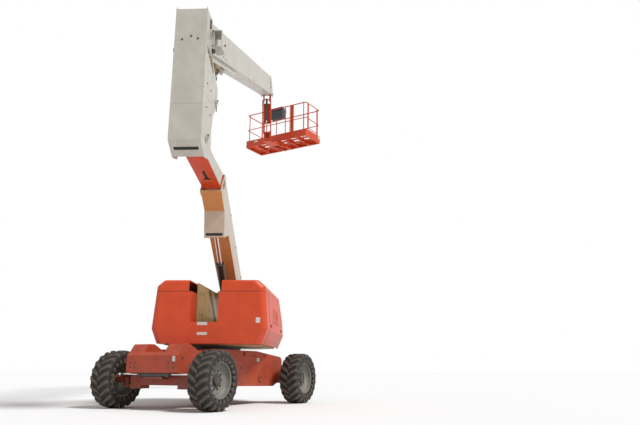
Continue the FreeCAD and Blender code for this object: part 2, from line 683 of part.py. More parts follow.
def build_knuckle(name, side):
    """Knuckle, stub axle and steering arm; Y points outboard."""
    frame = ground.move(x=-d.wheelbase / 2, y=d.kingpin_spread / 2 * side, z=d.tyre_diameter / 2)
    part = piece("knuckle_" + name, frame)
    half = d.knuckle_height / 2
    end = (spindle_end - d.kingpin_spread / 2) * side
    start = d.knuckle_diameter / 2 * side * 0.5
    low, high = (start, end) if side > 0 else (end, start)
    part.pad("xy", -half, half, Circle(0, 0, d.knuckle_diameter))
    part.pad("xz", low, high, Circle(0, 0, d.spindle_diameter))
    arm_top = d.steer_rod_height - d.tyre_diameter / 2 - d.steer_rod_diameter / 2 - 6
    inset = -d.steer_arm_inset * side
    wide = 32
    part.pad("xy", arm_top - d.steer_arm_plate, arm_top, Polygon([
        (20, -44 * side), (-30, 44 * side), (-d.steer_arm - wide, inset + wide * side),
        (-d.steer_arm - wide, inset - wide * side),
    ], {2: wide - 4, 3: wide - 4}))
    part.pocket("xy", -half, half, Circle(0, 0, d.kingpin_diameter + d.running_gap * 2))


build_knuckle("left", 1)
build_knuckle("right", -1)


def build_drive_axle():
    frame = ground.move(x=d.wheelbase / 2, z=d.tyre_diameter / 2)
    axle = piece("drive_axle", frame)
    half, high = d.drive_beam_depth / 2, d.drive_beam_height / 2
    seat = d.chassis_half_width
    axle.pad("xz", -seat - 90, seat + 90, rectangle(-half, half, -high, high, 30))
    axle.pad("xz", -spindle_end, spindle_end, Circle(0, 0, d.drive_tube_diameter))
    for sign in (-1, 1):
        middle = (seat + 120) * sign
        axle.pad("xz", middle - 30, middle + 30, Circle(0, 0, d.drive_tube_diameter + 60))


build_drive_axle()


def build_chassis():
    frame = piece("chassis_frame")
    wide = d.chassis_half_width
    far, near, top = d.chassis_far, d.chassis_near, d.chassis_top
    axle_top = d.tyre_diameter / 2 + d.drive_beam_height / 2
    axle_near = d.wheelbase / 2 - d.drive_beam_depth / 2
    frame.pad("xz", -wide, wide, Polygon([
        (-near, d.chassis_bottom + 60), (-near + 120, d.chassis_bottom), (axle_near - 160, d.chassis_bottom - 40),
        (axle_near - d.seat_gap, d.chassis_bottom + 20), (axle_near - d.seat_gap, axle_top + d.seat_gap),
        (far, axle_top + d.seat_gap),
        (far, d.chassis_far_top - 60), (far - 60, d.chassis_far_top),
        (d.bearing_diameter / 2 + 60, top), (-near, top),
    ]))
    # pocket that opens the belly between the axles
    frame.pocket("xy", d.chassis_bottom - 60, d.chassis_top - 60,
                 rectangle(-near + 200, axle_near - 200, -wide + 40, wide - 40, 60))
    # sight holes high in the side plates
    frame.pocket("xz", -wide - 10, wide + 10, rectangle(70, 130, 930, 1000, 15))
    nose, half = d.nose_reach, d.nose_half_width
    frame.pad("xz", -half, half, Polygon([
        (-nose, d.nose_bottom + 30), (-nose + 30, d.nose_bottom), (-near + 200, d.nose_bottom),
        (-near + 200, d.chassis_top - 60), (-near, d.chassis_top - 40), (-nose + 60, d.nose_top),
        (-nose, d.nose_top - 60),
    ]))
    for sign in (-1, 1):
        low, high = span(d.lobe_inner * sign, half * sign)
        frame.pad("xz", low, high, Polygon([
            (-nose, d.nose_bottom + 40), (-nose, d.nose_top - 80), (-nose + 170, d.lobe_top),
            (-nose + 320, d.lobe_top), (-nose + 560, d.nose_top + 30), (-near, d.nose_top + 30),
            (-near, d.nose_bottom + 40),
        ], {1: 60, 2: 50, 3: 60}))
    # hollows in the nose, before and behind the axle's pedestal
    axle = -d.wheelbase / 2
    for low, high in ((-nose + 40, axle - 150), (axle + 150, -near + 180)):
        frame.pocket("xy", d.nose_bottom - 20, d.nose_top - 60, rectangle(low, high, -half + 30, half - 30, 20))
    # tie-down eyes on the side plates
    eyes = piece("tie_down_eyes")
    reach = d.eye_width / 2
    z = d.chassis_bottom + 130
    for x in (-d.eye_near, d.eye_far):
        for sign in (-1, 1):
            low, high = span((wide + d.seat_gap) * sign, (wide + d.seat_gap + d.eye_plate) * sign)
            eyes.pad("xz", low, high, [
                rectangle(x - reach, x + reach, z - reach, z + reach, 30), Circle(x, z, d.eye_bore),
            ])


build_chassis()

ring_bottom = d.chassis_top + d.seat_gap
deck_floor = ring_bottom + d.bearing_height


def build_deck():
    ring = piece("swing_bearing")
    ring.pad("xy", ring_bottom - d.seat_gap, deck_floor - d.seat_gap,
             [Circle(0, 0, d.bearing_diameter), Circle(0, 0, d.bearing_bore)])
    plate_top = deck_floor + d.deck_plate
    base = piece("deck_frame", deck)
    left, right = d.deck_left - d.deck_tuck - 60, d.deck_right - d.deck_tuck - 60
    rear, front = d.deck_rear - d.casting_depth - d.seat_gap, d.deck_front - 60
    base.pad("xy", deck_floor, plate_top, Polygon([
        (-rear, -right), (front - 500, -right), (front, -right + 420),
        (front, left - 420), (front - 500, left), (-rear, left),
    ]))
    slot = d.notch_half_width
    boss = d.pivot_boss / 2
    px, pz = d.tower_pivot_x, d.tower_pivot_z
    for sign in (-1, 1):
        low, high = span(slot * sign, (slot + d.mast_plate) * sign)
        base.pad("xz", low, high, Polygon([
            (-d.mast_plate_rear, plate_top - 10), (px + 230, plate_top - 10), (px + 230, plate_top + 420),
            (px + boss + 20, pz - 120), (px + boss, pz + boss), (px - boss - 40, pz + boss),
            (px - 560, d.mast_plate_top), (-d.mast_plate_rear, d.mast_plate_top),
        ], {4: boss - 12, 5: 80}))
        outer = (slot + d.mast_plate + 22) * sign
        low, high = span(slot * sign, outer)
        base.pad("xz", low, high, Circle(px, pz, d.pivot_boss))
        low, high = span((slot - 30) * sign, slot * sign)
        base.pad("xz", low, high, Circle(d.tower_cyl_base_x, d.tower_cyl_base_z, d.pivot_boss * 0.8))
    # cross plate low in the front of the slot, under the tower boom's foot
    base.pad("xz", -slot, slot, Polygon([
        (px + 170, plate_top - 10), (px + 200, plate_top - 10), (px + 200, pz - 480), (px + 170, pz - 480),
    ]))
    pins = piece("deck_pins", deck)
    reach = slot - d.seat_gap
    pins.pad("xz", -reach, reach, Circle(px, pz, d.pivot_pin))
    reach = slot - 30 - d.seat_gap
    pins.pad("xz", -reach, reach, Circle(d.tower_cyl_base_x, d.tower_cyl_base_z, d.pivot_pin * 0.8))


build_deck()


def cover_side(face, level, sign):
    """Half width of the covers at a level above the ground."""
    rise = (level - d.deck_crease) / (d.hood_top - d.deck_crease)
    return (face - d.hood_lean * rise) * sign


def rear_corner(rear, left, right):
    """Picks the covers' outer edges at their rear face."""
    def chosen(middle, way):
        outer = middle.y > left.value - 200 or middle.y < 200 - right.value
        return abs(middle.x - rear.value) < 1 and outer and abs(way.z) > 150
    return chosen


def build_casting():
    """Counterweight: one casting across the rear, cut out for the tower boom."""
    casting = piece("counterweight", deck)
    rear, depth = -d.deck_rear, d.casting_depth
    left, right, tuck = d.deck_left, -d.deck_right, d.deck_tuck
    slot, seam = d.notch_half_width + 1, d.hood_seam
    casting.pad("yz", rear, rear + depth, Polygon([
        (right + tuck, d.deck_bottom), (left - tuck, d.deck_bottom), (left, d.deck_crease),
        (cover_side(d.deck_left, seam, 1), seam), (slot, seam), (slot, d.notch_floor),
        (-slot, d.notch_floor), (-slot, seam), (cover_side(d.deck_right, seam, -1), seam),
        (right, d.deck_crease),
    ]))
    casting.round_edges(d.casting_corner, rear_corner(rear, d.deck_left, d.deck_right))


build_casting()


def hood_form(part, face, sign, inset):
    """The hood's outer form, or with an inset the space inside its wall."""
    slot = d.notch_half_width + d.mast_plate + 26
    over = as_size(20 if inset.value else 0)
    rear, end = inset - d.deck_rear, d.deck_front - 330 - inset
    start = d.casting_depth + d.seat_gap - d.deck_rear + inset
    top, base = d.hood_top - inset, d.deck_bottom - over
    seam = d.hood_seam + d.seat_gap - over
    shoulder = cover_side(face - inset, d.hood_top - 110, sign)
    inner = (slot - over) * sign
    part.pad("yz", rear, end, Polygon([
        (inner, base), ((face - d.deck_tuck - inset) * sign, base), ((face - inset) * sign, d.deck_crease),
        (shoulder, d.hood_top - 110), (shoulder - 128 * sign, top), (inner, top),
    ]))
    # room for the casting under the rear end
    low, high = span((slot - 40) * sign, (face + 20) * sign)
    part.pocket("xz", low, high, rectangle(rear - 20, start, base - 40, seam))
    # slope down over the front corner
    part.pocket("xz", low, high, Polygon([
        (end - 520, top), (end + 20, d.deck_crease + 300 - inset), (end + 20, top + 20), (end - 520, top + 20),
    ]))
    outer = face.value * 0.5
    part.round_edges(d.casting_corner - inset, lambda middle, way: abs(middle.x - rear.value) < 1
                     and abs(middle.y) > outer and abs(way.z) > 50)
    part.round_edges(d.hood_edge - inset, lambda middle, way: abs(way.x) > 300 and abs(middle.y) > outer
                     and middle.z > d.hood_top.value - 130)


def build_hood(name, face, sign):
    """Moulded hood with rounded edges; its rear end closes the top of the casting."""
    hood = piece("hood_" + name, deck)
    hood_form(hood, face, sign, as_size(0))
    space = Piece("hood_%s_space" % name)
    hood_form(space, face, sign, d.hood_wall)
    hood.cut(space)
    # the front and rear walls clear the deck plate
    slot = d.notch_half_width + d.mast_plate + 26
    end = d.deck_front - 330
    start = d.casting_depth + d.seat_gap - d.deck_rear
    for low, high in ((end - d.hood_wall - 4, end + 4), (start - 4, start + d.hood_wall + 4)):
        hood.pocket("yz", low, high, rectangle(
            *span((slot - 10) * sign, (face - d.deck_tuck - 40) * sign),
            d.deck_bottom - 4, deck_floor + d.deck_plate + 6))


build_hood("left", d.deck_left, 1)
build_hood("right", d.deck_right, -1)


def build_machinery():
    engine = piece("engine_block", deck)
    plate_top = deck_floor + d.deck_plate + d.seat_gap
    inner = -(d.notch_half_width + d.mast_plate + 60)
    engine.pad("xy", plate_top, plate_top + d.engine_height,
               rectangle(-450, d.engine_length - 450, inner - d.engine_width, inner, 40))


build_machinery()


def box_tube(part, start, end, width, height, wall):
    """A rectangular tube along X with its corners slightly rounded."""
    part.pad("yz", start, end, [
        rectangle(-width / 2, width / 2, -height / 2, height / 2, wall + 6),
        rectangle(-width / 2 + wall, width / 2 - wall, -height / 2 + wall, height / 2 - wall),
    ])


def wear_pads(part, mouth, length, outer_width, outer_height, wall, inner_width, inner_height, pad):
    """Pads inside the open end of an outer boom that carry the inner one."""
    half, high = outer_width / 2 - wall, outer_height / 2 - wall
    near_y, near_z = inner_width / 2 + d.seat_gap, inner_height / 2 + d.seat_gap
    for sign in (-1, 1):
        low, top = span(near_y * sign, (half + 1) * sign)
        part.pad("yz", mouth - length, mouth, rectangle(low, top, -pad / 2, pad / 2))
        low, top = span(near_z * sign, (high + 1) * sign)
        part.pad("yz", mouth - length, mouth, rectangle(-pad / 2, pad / 2, low, top))


def build_tower():
    base = piece("tower_base", tower)
    half, high = d.tower_width / 2, d.tower_height / 2
    box_tube(base, d.tower_start, d.tower_end, d.tower_width, d.tower_height, d.tower_wall)
    base.pad("yz", d.tower_start, d.tower_start + 20, rectangle(-half + 4, half - 4, -high + 4, high - 4))
    boss = d.pivot_boss / 2
    for sign in (-1, 1):
        low, high_y = span(half * sign, (half - 40) * sign)
        base.pad("xz", low, high_y, [Polygon([
            (-boss, -boss), (d.tower_start + 40, -high + 10), (d.tower_start + 40, high - 10), (-boss, boss),
        ], {0: boss - 10, 3: boss - 10}), Circle(0, 0, d.pivot_pin + d.running_gap * 2)])
    # collar round the open end
    base.pad("yz", d.tower_end - 120, d.tower_end - 10, [
        rectangle(-half - 12, half + 12, -high - 12, high + 12, 24), rectangle(-half + 6, half - 6, -high + 6, high - 6),
    ])
    wear_pads(base, d.tower_end - 14, 100, d.tower_width, d.tower_height, d.tower_wall,
              d.tower_fly_width, d.tower_fly_height, 200)
    # wedge bracket for the lift cylinder's rod
    under = -high
    plate = d.wedge_plate
    for sign in (-1, 1):
        low, high_y = span(half * sign, (half - plate) * sign)
        base.pad("xz", low, high_y, Polygon([
            (d.wedge_mouth, under + 6), (d.wedge_low, -d.wedge_depth), (d.wedge_high, under + 6),
        ], {1: 25}))
        low, high_y = span((half - plate) * sign, 70 * sign)
        base.pad("xz", low, high_y, Circle(d.tower_eye_reach, -d.tower_eye_drop + 60, 120))
    base.pad("xz", -half, half, Polygon([
        (d.wedge_low - 20, -d.wedge_depth + 8), (d.wedge_low, -d.wedge_depth),
        (d.wedge_high, under + 4), (d.wedge_high - 26, under + 4),
    ]))
    fly = piece("tower_fly", tower)
    wide, tall = d.tower_fly_width / 2, d.tower_fly_height / 2
    box_tube(fly, d.tower_fly_start, d.tower_end + 60, d.tower_fly_width, d.tower_fly_height, d.tower_wall)
    reach, drop, knee = d.knee_reach, d.knee_drop, d.knee_radius
    neck = d.tower_end + 50
    fly.pad("xz", -wide, wide, [Polygon([
        (neck, -tall + 2), (reach - 293, -drop + 43), (reach - 40, -drop - knee), (reach + knee, -drop - knee * 0.6),
        (reach + knee, -drop + knee * 0.6), (reach - 60, -drop + knee + 90), (neck + 700, -tall - 60),
        (neck, tall),
    ], {2: knee * 0.6, 3: knee * 0.6, 4: knee * 0.6, 5: 120}), Circle(reach, -drop, d.pivot_pin + d.running_gap * 2)])
    # pocket that opens the gooseneck from above
    fly.pocket("xz", -wide + 20, wide - 20, Polygon([
        (neck + 10, -tall + 40), (reach - 300, -drop + 110), (reach - 200, -drop + 330), (neck + 700, 60),
        (neck + 260, 200), (neck + 10, 120),
    ]))


build_tower()


def build_cylinder(name, frame, barrel, length, rod, rod_length, rest, pin):
    """Barrel from its base pin and rod with an open eye; X points along the rod."""
    body = piece(name + "_barrel", frame)
    bore = rod + d.running_gap * 2
    eye = barrel * 0.94
    body.pad("xz", -barrel * 0.44, barrel * 0.44, [Circle(0, 0, eye), Circle(0, 0, pin + d.running_gap * 2)])
    body.pad("yz", barrel / 2 * 0.8, length, Circle(0, 0, barrel))
    body.pad("yz", length - 90, length, Circle(0, 0, barrel + 16))
    body.pocket("yz", barrel / 2 + 12, length + 10, Circle(0, 0, bore))
    shaft = piece(name + "_rod", frame)
    shaft.pad("yz", rest - rod_length, rest - rod * 0.55, Circle(0, 0, rod))
    shaft.pad("xz", -rod * 0.42, rod * 0.42, [Circle(rest, 0, rod * 1.45), Circle(rest, 0, rod * 0.75)])


build_cylinder("tower_cylinder", tower_cylinder, d.tower_barrel_diameter, d.tower_barrel_length,
               d.tower_rod_diameter, d.tower_rod_length, tower_cyl_rest, d.pivot_pin * 0.8)
build_cylinder("main_cylinder", main_cylinder, d.main_barrel_diameter, d.main_barrel_length,
               d.main_rod_diameter, d.main_rod_length, main_cyl_rest, d.pivot_pin * 0.6)
build_cylinder("jib_cylinder", jib_cylinder, d.jib_barrel_diameter, d.jib_barrel_length,
               d.jib_rod_diameter, d.jib_rod_length, jib_cyl_rest, d.jib_pin * 0.7)


def build_upright():
    column = piece("upright", upright)
    half, plate = d.upright_width / 2, d.upright_plate
    back, foot, toe, bulge = -d.upright_back, -d.upright_foot, -d.upright_toe, d.bulge_reach
    boss = d.pivot_boss / 2
    side = [
        (back, foot), (back + 300, toe), (back + 550, toe + 50), (back + 720, foot + 104),
        (back + 690, foot + 404), (back + 760, foot + 704), (bulge, foot + 1054), (bulge, foot + 1354),
        (back + 500, foot + 1704), (back + 420, d.upright_top), (back, d.upright_top),
    ]
    rounds = {1: 60, 2: 70, 3: 120, 4: 200, 5: 200, 6: 160, 7: 160, 8: 200, 9: 60}
    for sign in (-1, 1):
        low, high = span(half * sign, (half - plate) * sign)
        column.pad("xz", low, high, Polygon(side, rounds))
        # bosses: X, Z
        for x, z in ((0, 0), (d.main_pivot_ahead, d.main_pivot_up), (d.main_cyl_base_ahead, d.main_cyl_base_up)):
            low, high = span(half * sign, (half + 20) * sign)
            column.pad("xz", low, high, Circle(x, z, d.pivot_boss * 0.8))
    column.pad("yz", back, back + plate, rectangle(-half, half, foot, d.upright_top))
    # slanted opening in the right-hand plate
    column.pocket("xz", -half - 1, -half + plate + 1, Polygon([
        (back + 80, 1590), (back + 190, 1460), (back + 640, 1310), (back + 680, 1350), (back + 470, 1540),
    ], {0: 20, 1: 60, 2: 20, 3: 20, 4: 60}))
    # sloping bottom plate
    column.pad("xz", -half, half, Polygon([
        (back, foot), (back + 290, toe + 8), (back + 296, toe + 24), (back + plate, foot + 20),
    ]))
    # stiffener across the waist, behind the lift cylinder
    column.pad("xz", -half + 4, half - 4, Polygon([
        (back + 4, 700), (back + 150, 690), (back + 150, 706), (back + 4, 716),
    ]))
    column.pad("xz", -half + 4, half - 4, Polygon([
        (back + 4, d.upright_top - 30), (back + 120, d.upright_top - 30), (back + 120, d.upright_top - 14),
        (back + 4, d.upright_top - 14),
    ]))
    # hose guard: a short square tube on the right, beside the upper pin
    column.pad("yz", 60, 370, [
        rectangle(-half - 172, -half - 20, 1720, 2040, 16), rectangle(-half - 160, -half - 32, 1732, 2028, 8),
    ])
    column.pad("yz", 60, 110, rectangle(-half - 40, -half + 4, 1760, 1990))
    # pins: X, Z, diameter
    reach = half - plate - d.seat_gap
    pins = piece("upright_pins", upright)
    for x, z, size in ((0, 0, d.pivot_pin), (d.main_pivot_ahead, d.main_pivot_up, d.pivot_pin),
                       (d.main_cyl_base_ahead, d.main_cyl_base_up, d.pivot_pin * 0.6)):
        pins.pad("xz", -reach, reach, Circle(x, z, size))


build_upright()


def build_main():
    base = piece("main_base", main)
    half, high = d.main_width / 2, d.main_height / 2
    box_tube(base, d.main_start, d.main_end, d.main_width, d.main_height, d.main_wall)
    base.pad("yz", d.main_start, d.main_start + 16, rectangle(-half + 4, half - 4, -high + 4, high - 4))
    boss = d.pivot_boss / 2
    for sign in (-1, 1):
        low, high_y = span(half * sign, (half - 40) * sign)
        base.pad("xz", low, high_y, [Polygon([
            (-boss, -boss), (d.main_start + 40, -high + 6), (d.main_start + 40, high - 6), (-boss, boss),
        ], {0: boss - 10, 3: boss - 10}), Circle(0, 0, d.pivot_pin + d.running_gap * 2)])
        # flanges of the channel under the boom
        wide = d.channel_width / 2
        low, high_y = span(wide * sign, (wide - 10) * sign)
        base.pad("xz", low, high_y, Polygon([
            (d.channel_start, -high + 4), (d.channel_start + 60, -high - d.channel_depth),
            (d.channel_end - 90, -high - d.channel_depth), (d.channel_end, -high + 4),
        ]))
        # ears for the lift cylinder's rod eye
        low, high_y = span((d.main_barrel_diameter / 2 + 16) * sign, (d.main_barrel_diameter / 2 + 40) * sign)
        base.pad("xz", low, high_y, Polygon([
            (d.main_eye_reach - 190, -high + 4), (d.main_eye_reach - 60, -d.main_eye_drop - 60),
            (d.main_eye_reach + 60, -d.main_eye_drop - 60), (d.main_eye_reach + 190, -high + 4),
        ], {1: 50, 2: 50}))
    base.pad("yz", d.main_end - 130, d.main_end - 10, [
        rectangle(-half - 10, half + 10, -high - 10, high + 10, 20), rectangle(-half + 5, half - 5, -high + 5, high - 5),
    ])
    wear_pads(base, d.main_end - 14, 110, d.main_width, d.main_height, d.main_wall,
              d.main_fly_width, d.main_fly_height, 210)
    fly = piece("main_fly", main)
    wide, tall = d.main_fly_width / 2, d.main_fly_height / 2
    box_tube(fly, d.main_fly_start, d.main_fly_end, d.main_fly_width, d.main_fly_height, d.main_wall)
    fly.pad("yz", d.main_fly_end - 16, d.main_fly_end, rectangle(-wide + 4, wide - 4, -tall + 120, tall - 4))
    nose = piece("main_nose", main)
    pin_x, pin_z = d.nose_pin_reach, -d.nose_pin_drop
    ear, plate = 75, d.nose_plate
    for sign in (-1, 1):
        low, high_y = span((wide + d.seat_gap) * sign, (wide + d.seat_gap + plate) * sign)
        nose.pad("xz", low, high_y, Polygon([
            (d.main_fly_end - 120, -tall + 2), (pin_x, pin_z - ear), (pin_x + ear, pin_z - ear),
            (pin_x + ear, pin_z + ear), (d.main_fly_end + 40, tall), (d.main_fly_end - 120, tall),
        ], {2: ear - 10, 3: 60}))
    nose.pad("xz", -wide, wide, Circle(pin_x, pin_z, d.jib_pin))


build_main()


def build_jib():
    # levelled knuckle between the boom's nose and the jib
    inner = d.jib_width / 2 - d.jib_ear - 6
    hinge = piece("jib_knuckle", knuckle)
    lx, lz = -d.link_back, -d.link_drop
    for sign in (-1, 1):
        low, high = span(inner * sign, (inner - 18) * sign)
        hinge.pad("xz", low, high, [Polygon([
            (-60, 55), (60, 55), (lx + 44, lz - 42), (lx - 46, lz - 42),
        ], {0: 50, 1: 50, 2: 44, 3: 44}), Circle(0, 0, d.jib_pin + d.running_gap * 2)])
    reach = d.jib_width / 2 + d.link_gap + d.link_bar + 2
    for sign in (-1, 1):
        hinge.pad("xz", *span((inner - 24) * sign, reach * sign), Circle(lx, lz, d.jib_pin * 0.7))
    hinge.pad("xz", -inner + 4, inner - 4, Circle(-d.jib_cyl_back, -d.jib_cyl_drop, d.jib_pin * 0.7))
    arm = piece("jib_arm", jib)
    half, deep, fork = d.jib_width / 2, d.jib_depth / 2, d.jib_fork
    length = d.jib_length
    arm.pad("yz", fork, length - fork, [
        rectangle(-half, half, -deep, deep, 16), rectangle(-half + 10, half - 10, -deep + 10, deep - 10),
    ])
    for sign in (-1, 1):
        low, high = span(half * sign, (half - d.jib_ear) * sign)
        for centre, outward in ((0, -1), (length, 1)):
            start = fork + 40 if outward < 0 else length - fork - 40
            arm.pad("xz", low, high, [Polygon([
                (start, -deep + 1), (centre + deep * outward, -deep + 1),
                (centre + deep * outward, deep - 1), (start, deep - 1),
            ], {1: deep - 8, 2: deep - 8}), Circle(centre, 0, d.jib_pin + d.running_gap * 2)])
        # ears for the lift cylinder's rod eye
        low, high = span((d.jib_rod_diameter / 2 + 12) * sign, (d.jib_rod_diameter / 2 + 26) * sign)
        arm.pad("xz", low, high, Polygon([
            (d.jib_eye_reach - 110, -deep + 2), (d.jib_eye_reach - 30, -d.jib_eye_drop - 36),
            (d.jib_eye_reach + 30, -d.jib_eye_drop - 36), (d.jib_eye_reach + 36, -deep + 2),
        ], {1: 28, 2: 28}))
    for sign in (-1, 1):
        arm.pad("yz", fork, fork + 10, rectangle(-half + 5, half - 5, -deep + 5, deep - 5))
        arm.pad("yz", length - fork - 10, length - fork, rectangle(-half + 5, half - 5, -deep + 5, deep - 5))
        break
    bars = piece("jib_link", knuckle.move(x=lx, z=lz).turn("y", d.jib_rest))
    bar = d.link_depth / 2
    for sign in (-1, 1):
        low, high = span((half + d.link_gap) * sign, (half + d.link_gap + d.link_bar) * sign)
        bars.pad("xz", low, high, [
            Polygon([(-bar, -bar), (length + bar, -bar), (length + bar, bar), (-bar, bar)],
                    {0: bar - 5, 1: bar - 5, 2: bar - 5, 3: bar - 5}),
            Circle(0, 0, d.jib_pin * 0.7 + d.running_gap * 2), Circle(length, 0, d.jib_pin * 0.7 + d.running_gap * 2),
        ])


build_jib()


def build_cradle():
    """Support at the jib's end with the platform's rotator."""
    support = piece("platform_cradle", cradle)
    inner = d.jib_width / 2 - d.jib_ear - 6
    lx, lz = -d.link_back, -d.link_drop
    ahead = d.rotator_ahead
    for sign in (-1, 1):
        low, high = span(inner * sign, (inner - 18) * sign)
        support.pad("xz", low, high, Polygon([
            (-50, 50), (ahead, 50), (ahead, -d.rotator_bottom + 35), (30, -d.rotator_bottom + 35),
            (lx + 44, lz - 42), (lx - 46, lz - 42),
        ], {0: 44, 4: 40, 5: 40}))
    outer = d.jib_width / 2
    support.pad("xz", -outer + 2, outer - 2, Circle(0, 0, d.jib_pin))
    reach = d.jib_width / 2 + d.link_gap + d.link_bar + 2
    support.pad("xz", -reach, reach, Circle(lx, lz, d.jib_pin * 0.7))
    rotator = piece("rotator", cradle.move(x=ahead))
    size = d.rotator_diameter
    rotator.pad("xy", -d.rotator_bottom, d.rotator_top, Circle(0, 0, size))
    for level in (-d.rotator_bottom, d.rotator_top - 24):
        rotator.pad("xy", level, level + 24, Circle(0, 0, size + 22))
    support.pocket("xy", -d.rotator_bottom - 60, d.rotator_top + 20, Circle(ahead, 0, size + 24))


build_cradle()


def build_platform():
    """Work platform with X pointing away from the boom."""
    floor = -d.platform_floor
    near, far = d.platform_inner, d.platform_inner + d.platform_depth
    half, wall = d.platform_length / 2, d.floor_wall
    carrier = piece("platform_bracket", platform)
    low = -d.rotator_bottom - d.running_gap
    size = d.rotator_diameter / 2 + 20
    carrier.pad("xy", low - 40, low, Polygon([
        (-size, -size), (size, -size), (near - 60, -160), (near - 20, -160), (near - 20, 160), (near - 60, 160),
        (size, size), (-size, size),
    ], {0: 60, 7: 60}))
    for sign in (-1, 1):
        a, b = span(as_size(160 * sign), as_size(120 * sign))
        carrier.pad("xz", a, b, Polygon([
            (near - 120, low - 40), (near - 20, low - 40), (far - 60, floor - 40 - d.seat_gap),
            (far - 60, floor - d.seat_gap), (near + 20, floor - d.seat_gap), (near - 120, low),
        ]))
    deck_plate = piece("platform_floor", platform)
    deck_plate.pad("xy", floor, floor + d.floor_frame, [
        rectangle(near, far, -half, half, 30), rectangle(near + wall, far - wall, -half + wall, half - wall),
    ])
    # cross bearers: Y
    for y in (-800, -400, 0, 400, 800):
        deck_plate.pad("xy", floor, floor + d.floor_frame - d.floor_plate, rectangle(near + 10, far - 10, y - 18, y + 18))
    top = floor + d.floor_frame
    deck_plate.pad("xy", top - d.floor_plate, top, rectangle(near + 10, far - 10, -half + 10, half - 10))
    # rows of long slots between the bearers
    for y in (-1000, -600, -200, 200, 600, 1000):
        for row in (1, 2, 3):
            x = near + d.platform_depth * row / 4
            deck_plate.pocket("xy", top - d.floor_plate - 4, top + 4, rectangle(x - 45, x + 45, y - 130, y + 130))
    thin = d.kick_plate
    deck_plate.pad("xy", top, top + d.kick_height, [
        rectangle(near, far, -half, half, 30), rectangle(near + thin, far - thin, -half + thin, half - thin, 26),
    ])
    build_rails(near, far, half, top)


def build_rails(near, far, half, top):
    rails = piece("platform_rails", platform)
    tube, inset = d.rail_tube, 30
    radius = tube / 2
    x0, x1, y1 = near + inset, far - inset, half - inset
    gate = d.gate_width / 2
    middle = (x0 + x1) / 2
    foot = top + d.seat_gap
    head = top + d.rail_height
    mid = top + d.mid_rail_height
    # posts: X, Y
    posts = [(x0, -y1), (x0, -y1 + 620), (x0, y1 - 620), (x0, y1), (x1, -y1), (x1, -y1 + 620),
             (x1, y1 - 620), (x1, y1), (x0, -380), (x0, 380), (x1, 0)]
    for x, y in posts:
        rails.pad("xy", foot, head, Circle(x, y, d.rail_post))
    for level, size in ((head, tube), (mid, d.mid_rail_tube)):
        for x in (x0, x1):
            rails.pad("xz", -y1 - size * 0.8, y1 + size * 0.8, Circle(x, level, size))
        # closed end, and short returns beside the gate
        rails.pad("yz", x0, x1, Circle(y1, level, size * 0.9))
        rails.pad("yz", x0, middle - gate, Circle(-y1, level, size * 0.9))
        rails.pad("yz", middle + gate, x1, Circle(-y1, level, size * 0.9))
    gate_piece = piece("platform_gate", platform.move(x=middle - gate, y=-y1))
    gap = 8
    width = d.gate_width
    for level in (head, mid, top + 220):
        gate_piece.pad("yz", tube / 2 + gap, width - tube / 2 - gap, Circle(0, level, tube * 0.8))
    for level in (top + 330, head - 200):
        gate_piece.pad("xy", level, level + 40, Polygon([
            (d.rail_post / 2 + d.seat_gap, -9), (tube / 2 + gap + 24, -9),
            (tube / 2 + gap + 24, 9), (d.rail_post / 2 + d.seat_gap, 9),
        ]))
    for x in (tube / 2 + gap + 20, width - tube / 2 - gap - 20):
        gate_piece.pad("xy", top + 215, head + 4, Circle(x, 0, tube * 0.7))
    for x in (middle - gate, middle + gate):
        rails.pad("xy", foot, head, Circle(x, -y1, d.rail_post))
    console = piece("control_console", platform)
    wide = d.console_width / 2
    back = x0 + radius + 6
    console.pad("xz", -wide, wide, Polygon([
        (back, head - d.console_height), (back + d.console_depth * 0.6, head - d.console_height),
        (back + d.console_depth, head - 90), (back + d.console_depth, head - 20), (back, head + 60),
    ], {2: 20, 3: 20}))
    for sign in (-1, 1):
        console.pad("xz", *span((wide - 60) * sign, (wide - 20) * sign),
                    rectangle(x0 + radius + d.seat_gap, back + 20, head - 30, head + 16))


build_platform()


def check(objects):
    for item in objects:
        if "Invalid" in item.State or "Error" in item.State:
            raise RuntimeError("%s is %s" % (item.Label, item.State))


doc.recompute()
check(doc.Objects)
os.makedirs("parts", exist_ok=True)
for name, item in pieces.items():
    shape = item.body.Shape
    if shape.isNull() or not shape.isValid():
        raise RuntimeError("%s has no valid shape" % name)
    shape.exportStep("parts/%s.step" % name)
    print("%-22s solids %d faces %3d volume %.4f" % (name, len(shape.Solids), len(shape.Faces), shape.Volume / 1e9))
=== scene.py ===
"""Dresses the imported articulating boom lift: paint, tyres, joint lines, pins, bolts and small fittings.

Lengths are in metres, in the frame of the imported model: the origin lies on the ground under the
slewing axis, +X points from the steered axle to the driven axle, +Y to the left and +Z up.
"""

from __future__ import annotations

import json
import logging
import math
from dataclasses import dataclass, field
from enum import Enum
from typing import Callable, Sequence

import bpy
import numpy as np
from mathutils import Euler, Matrix, Vector

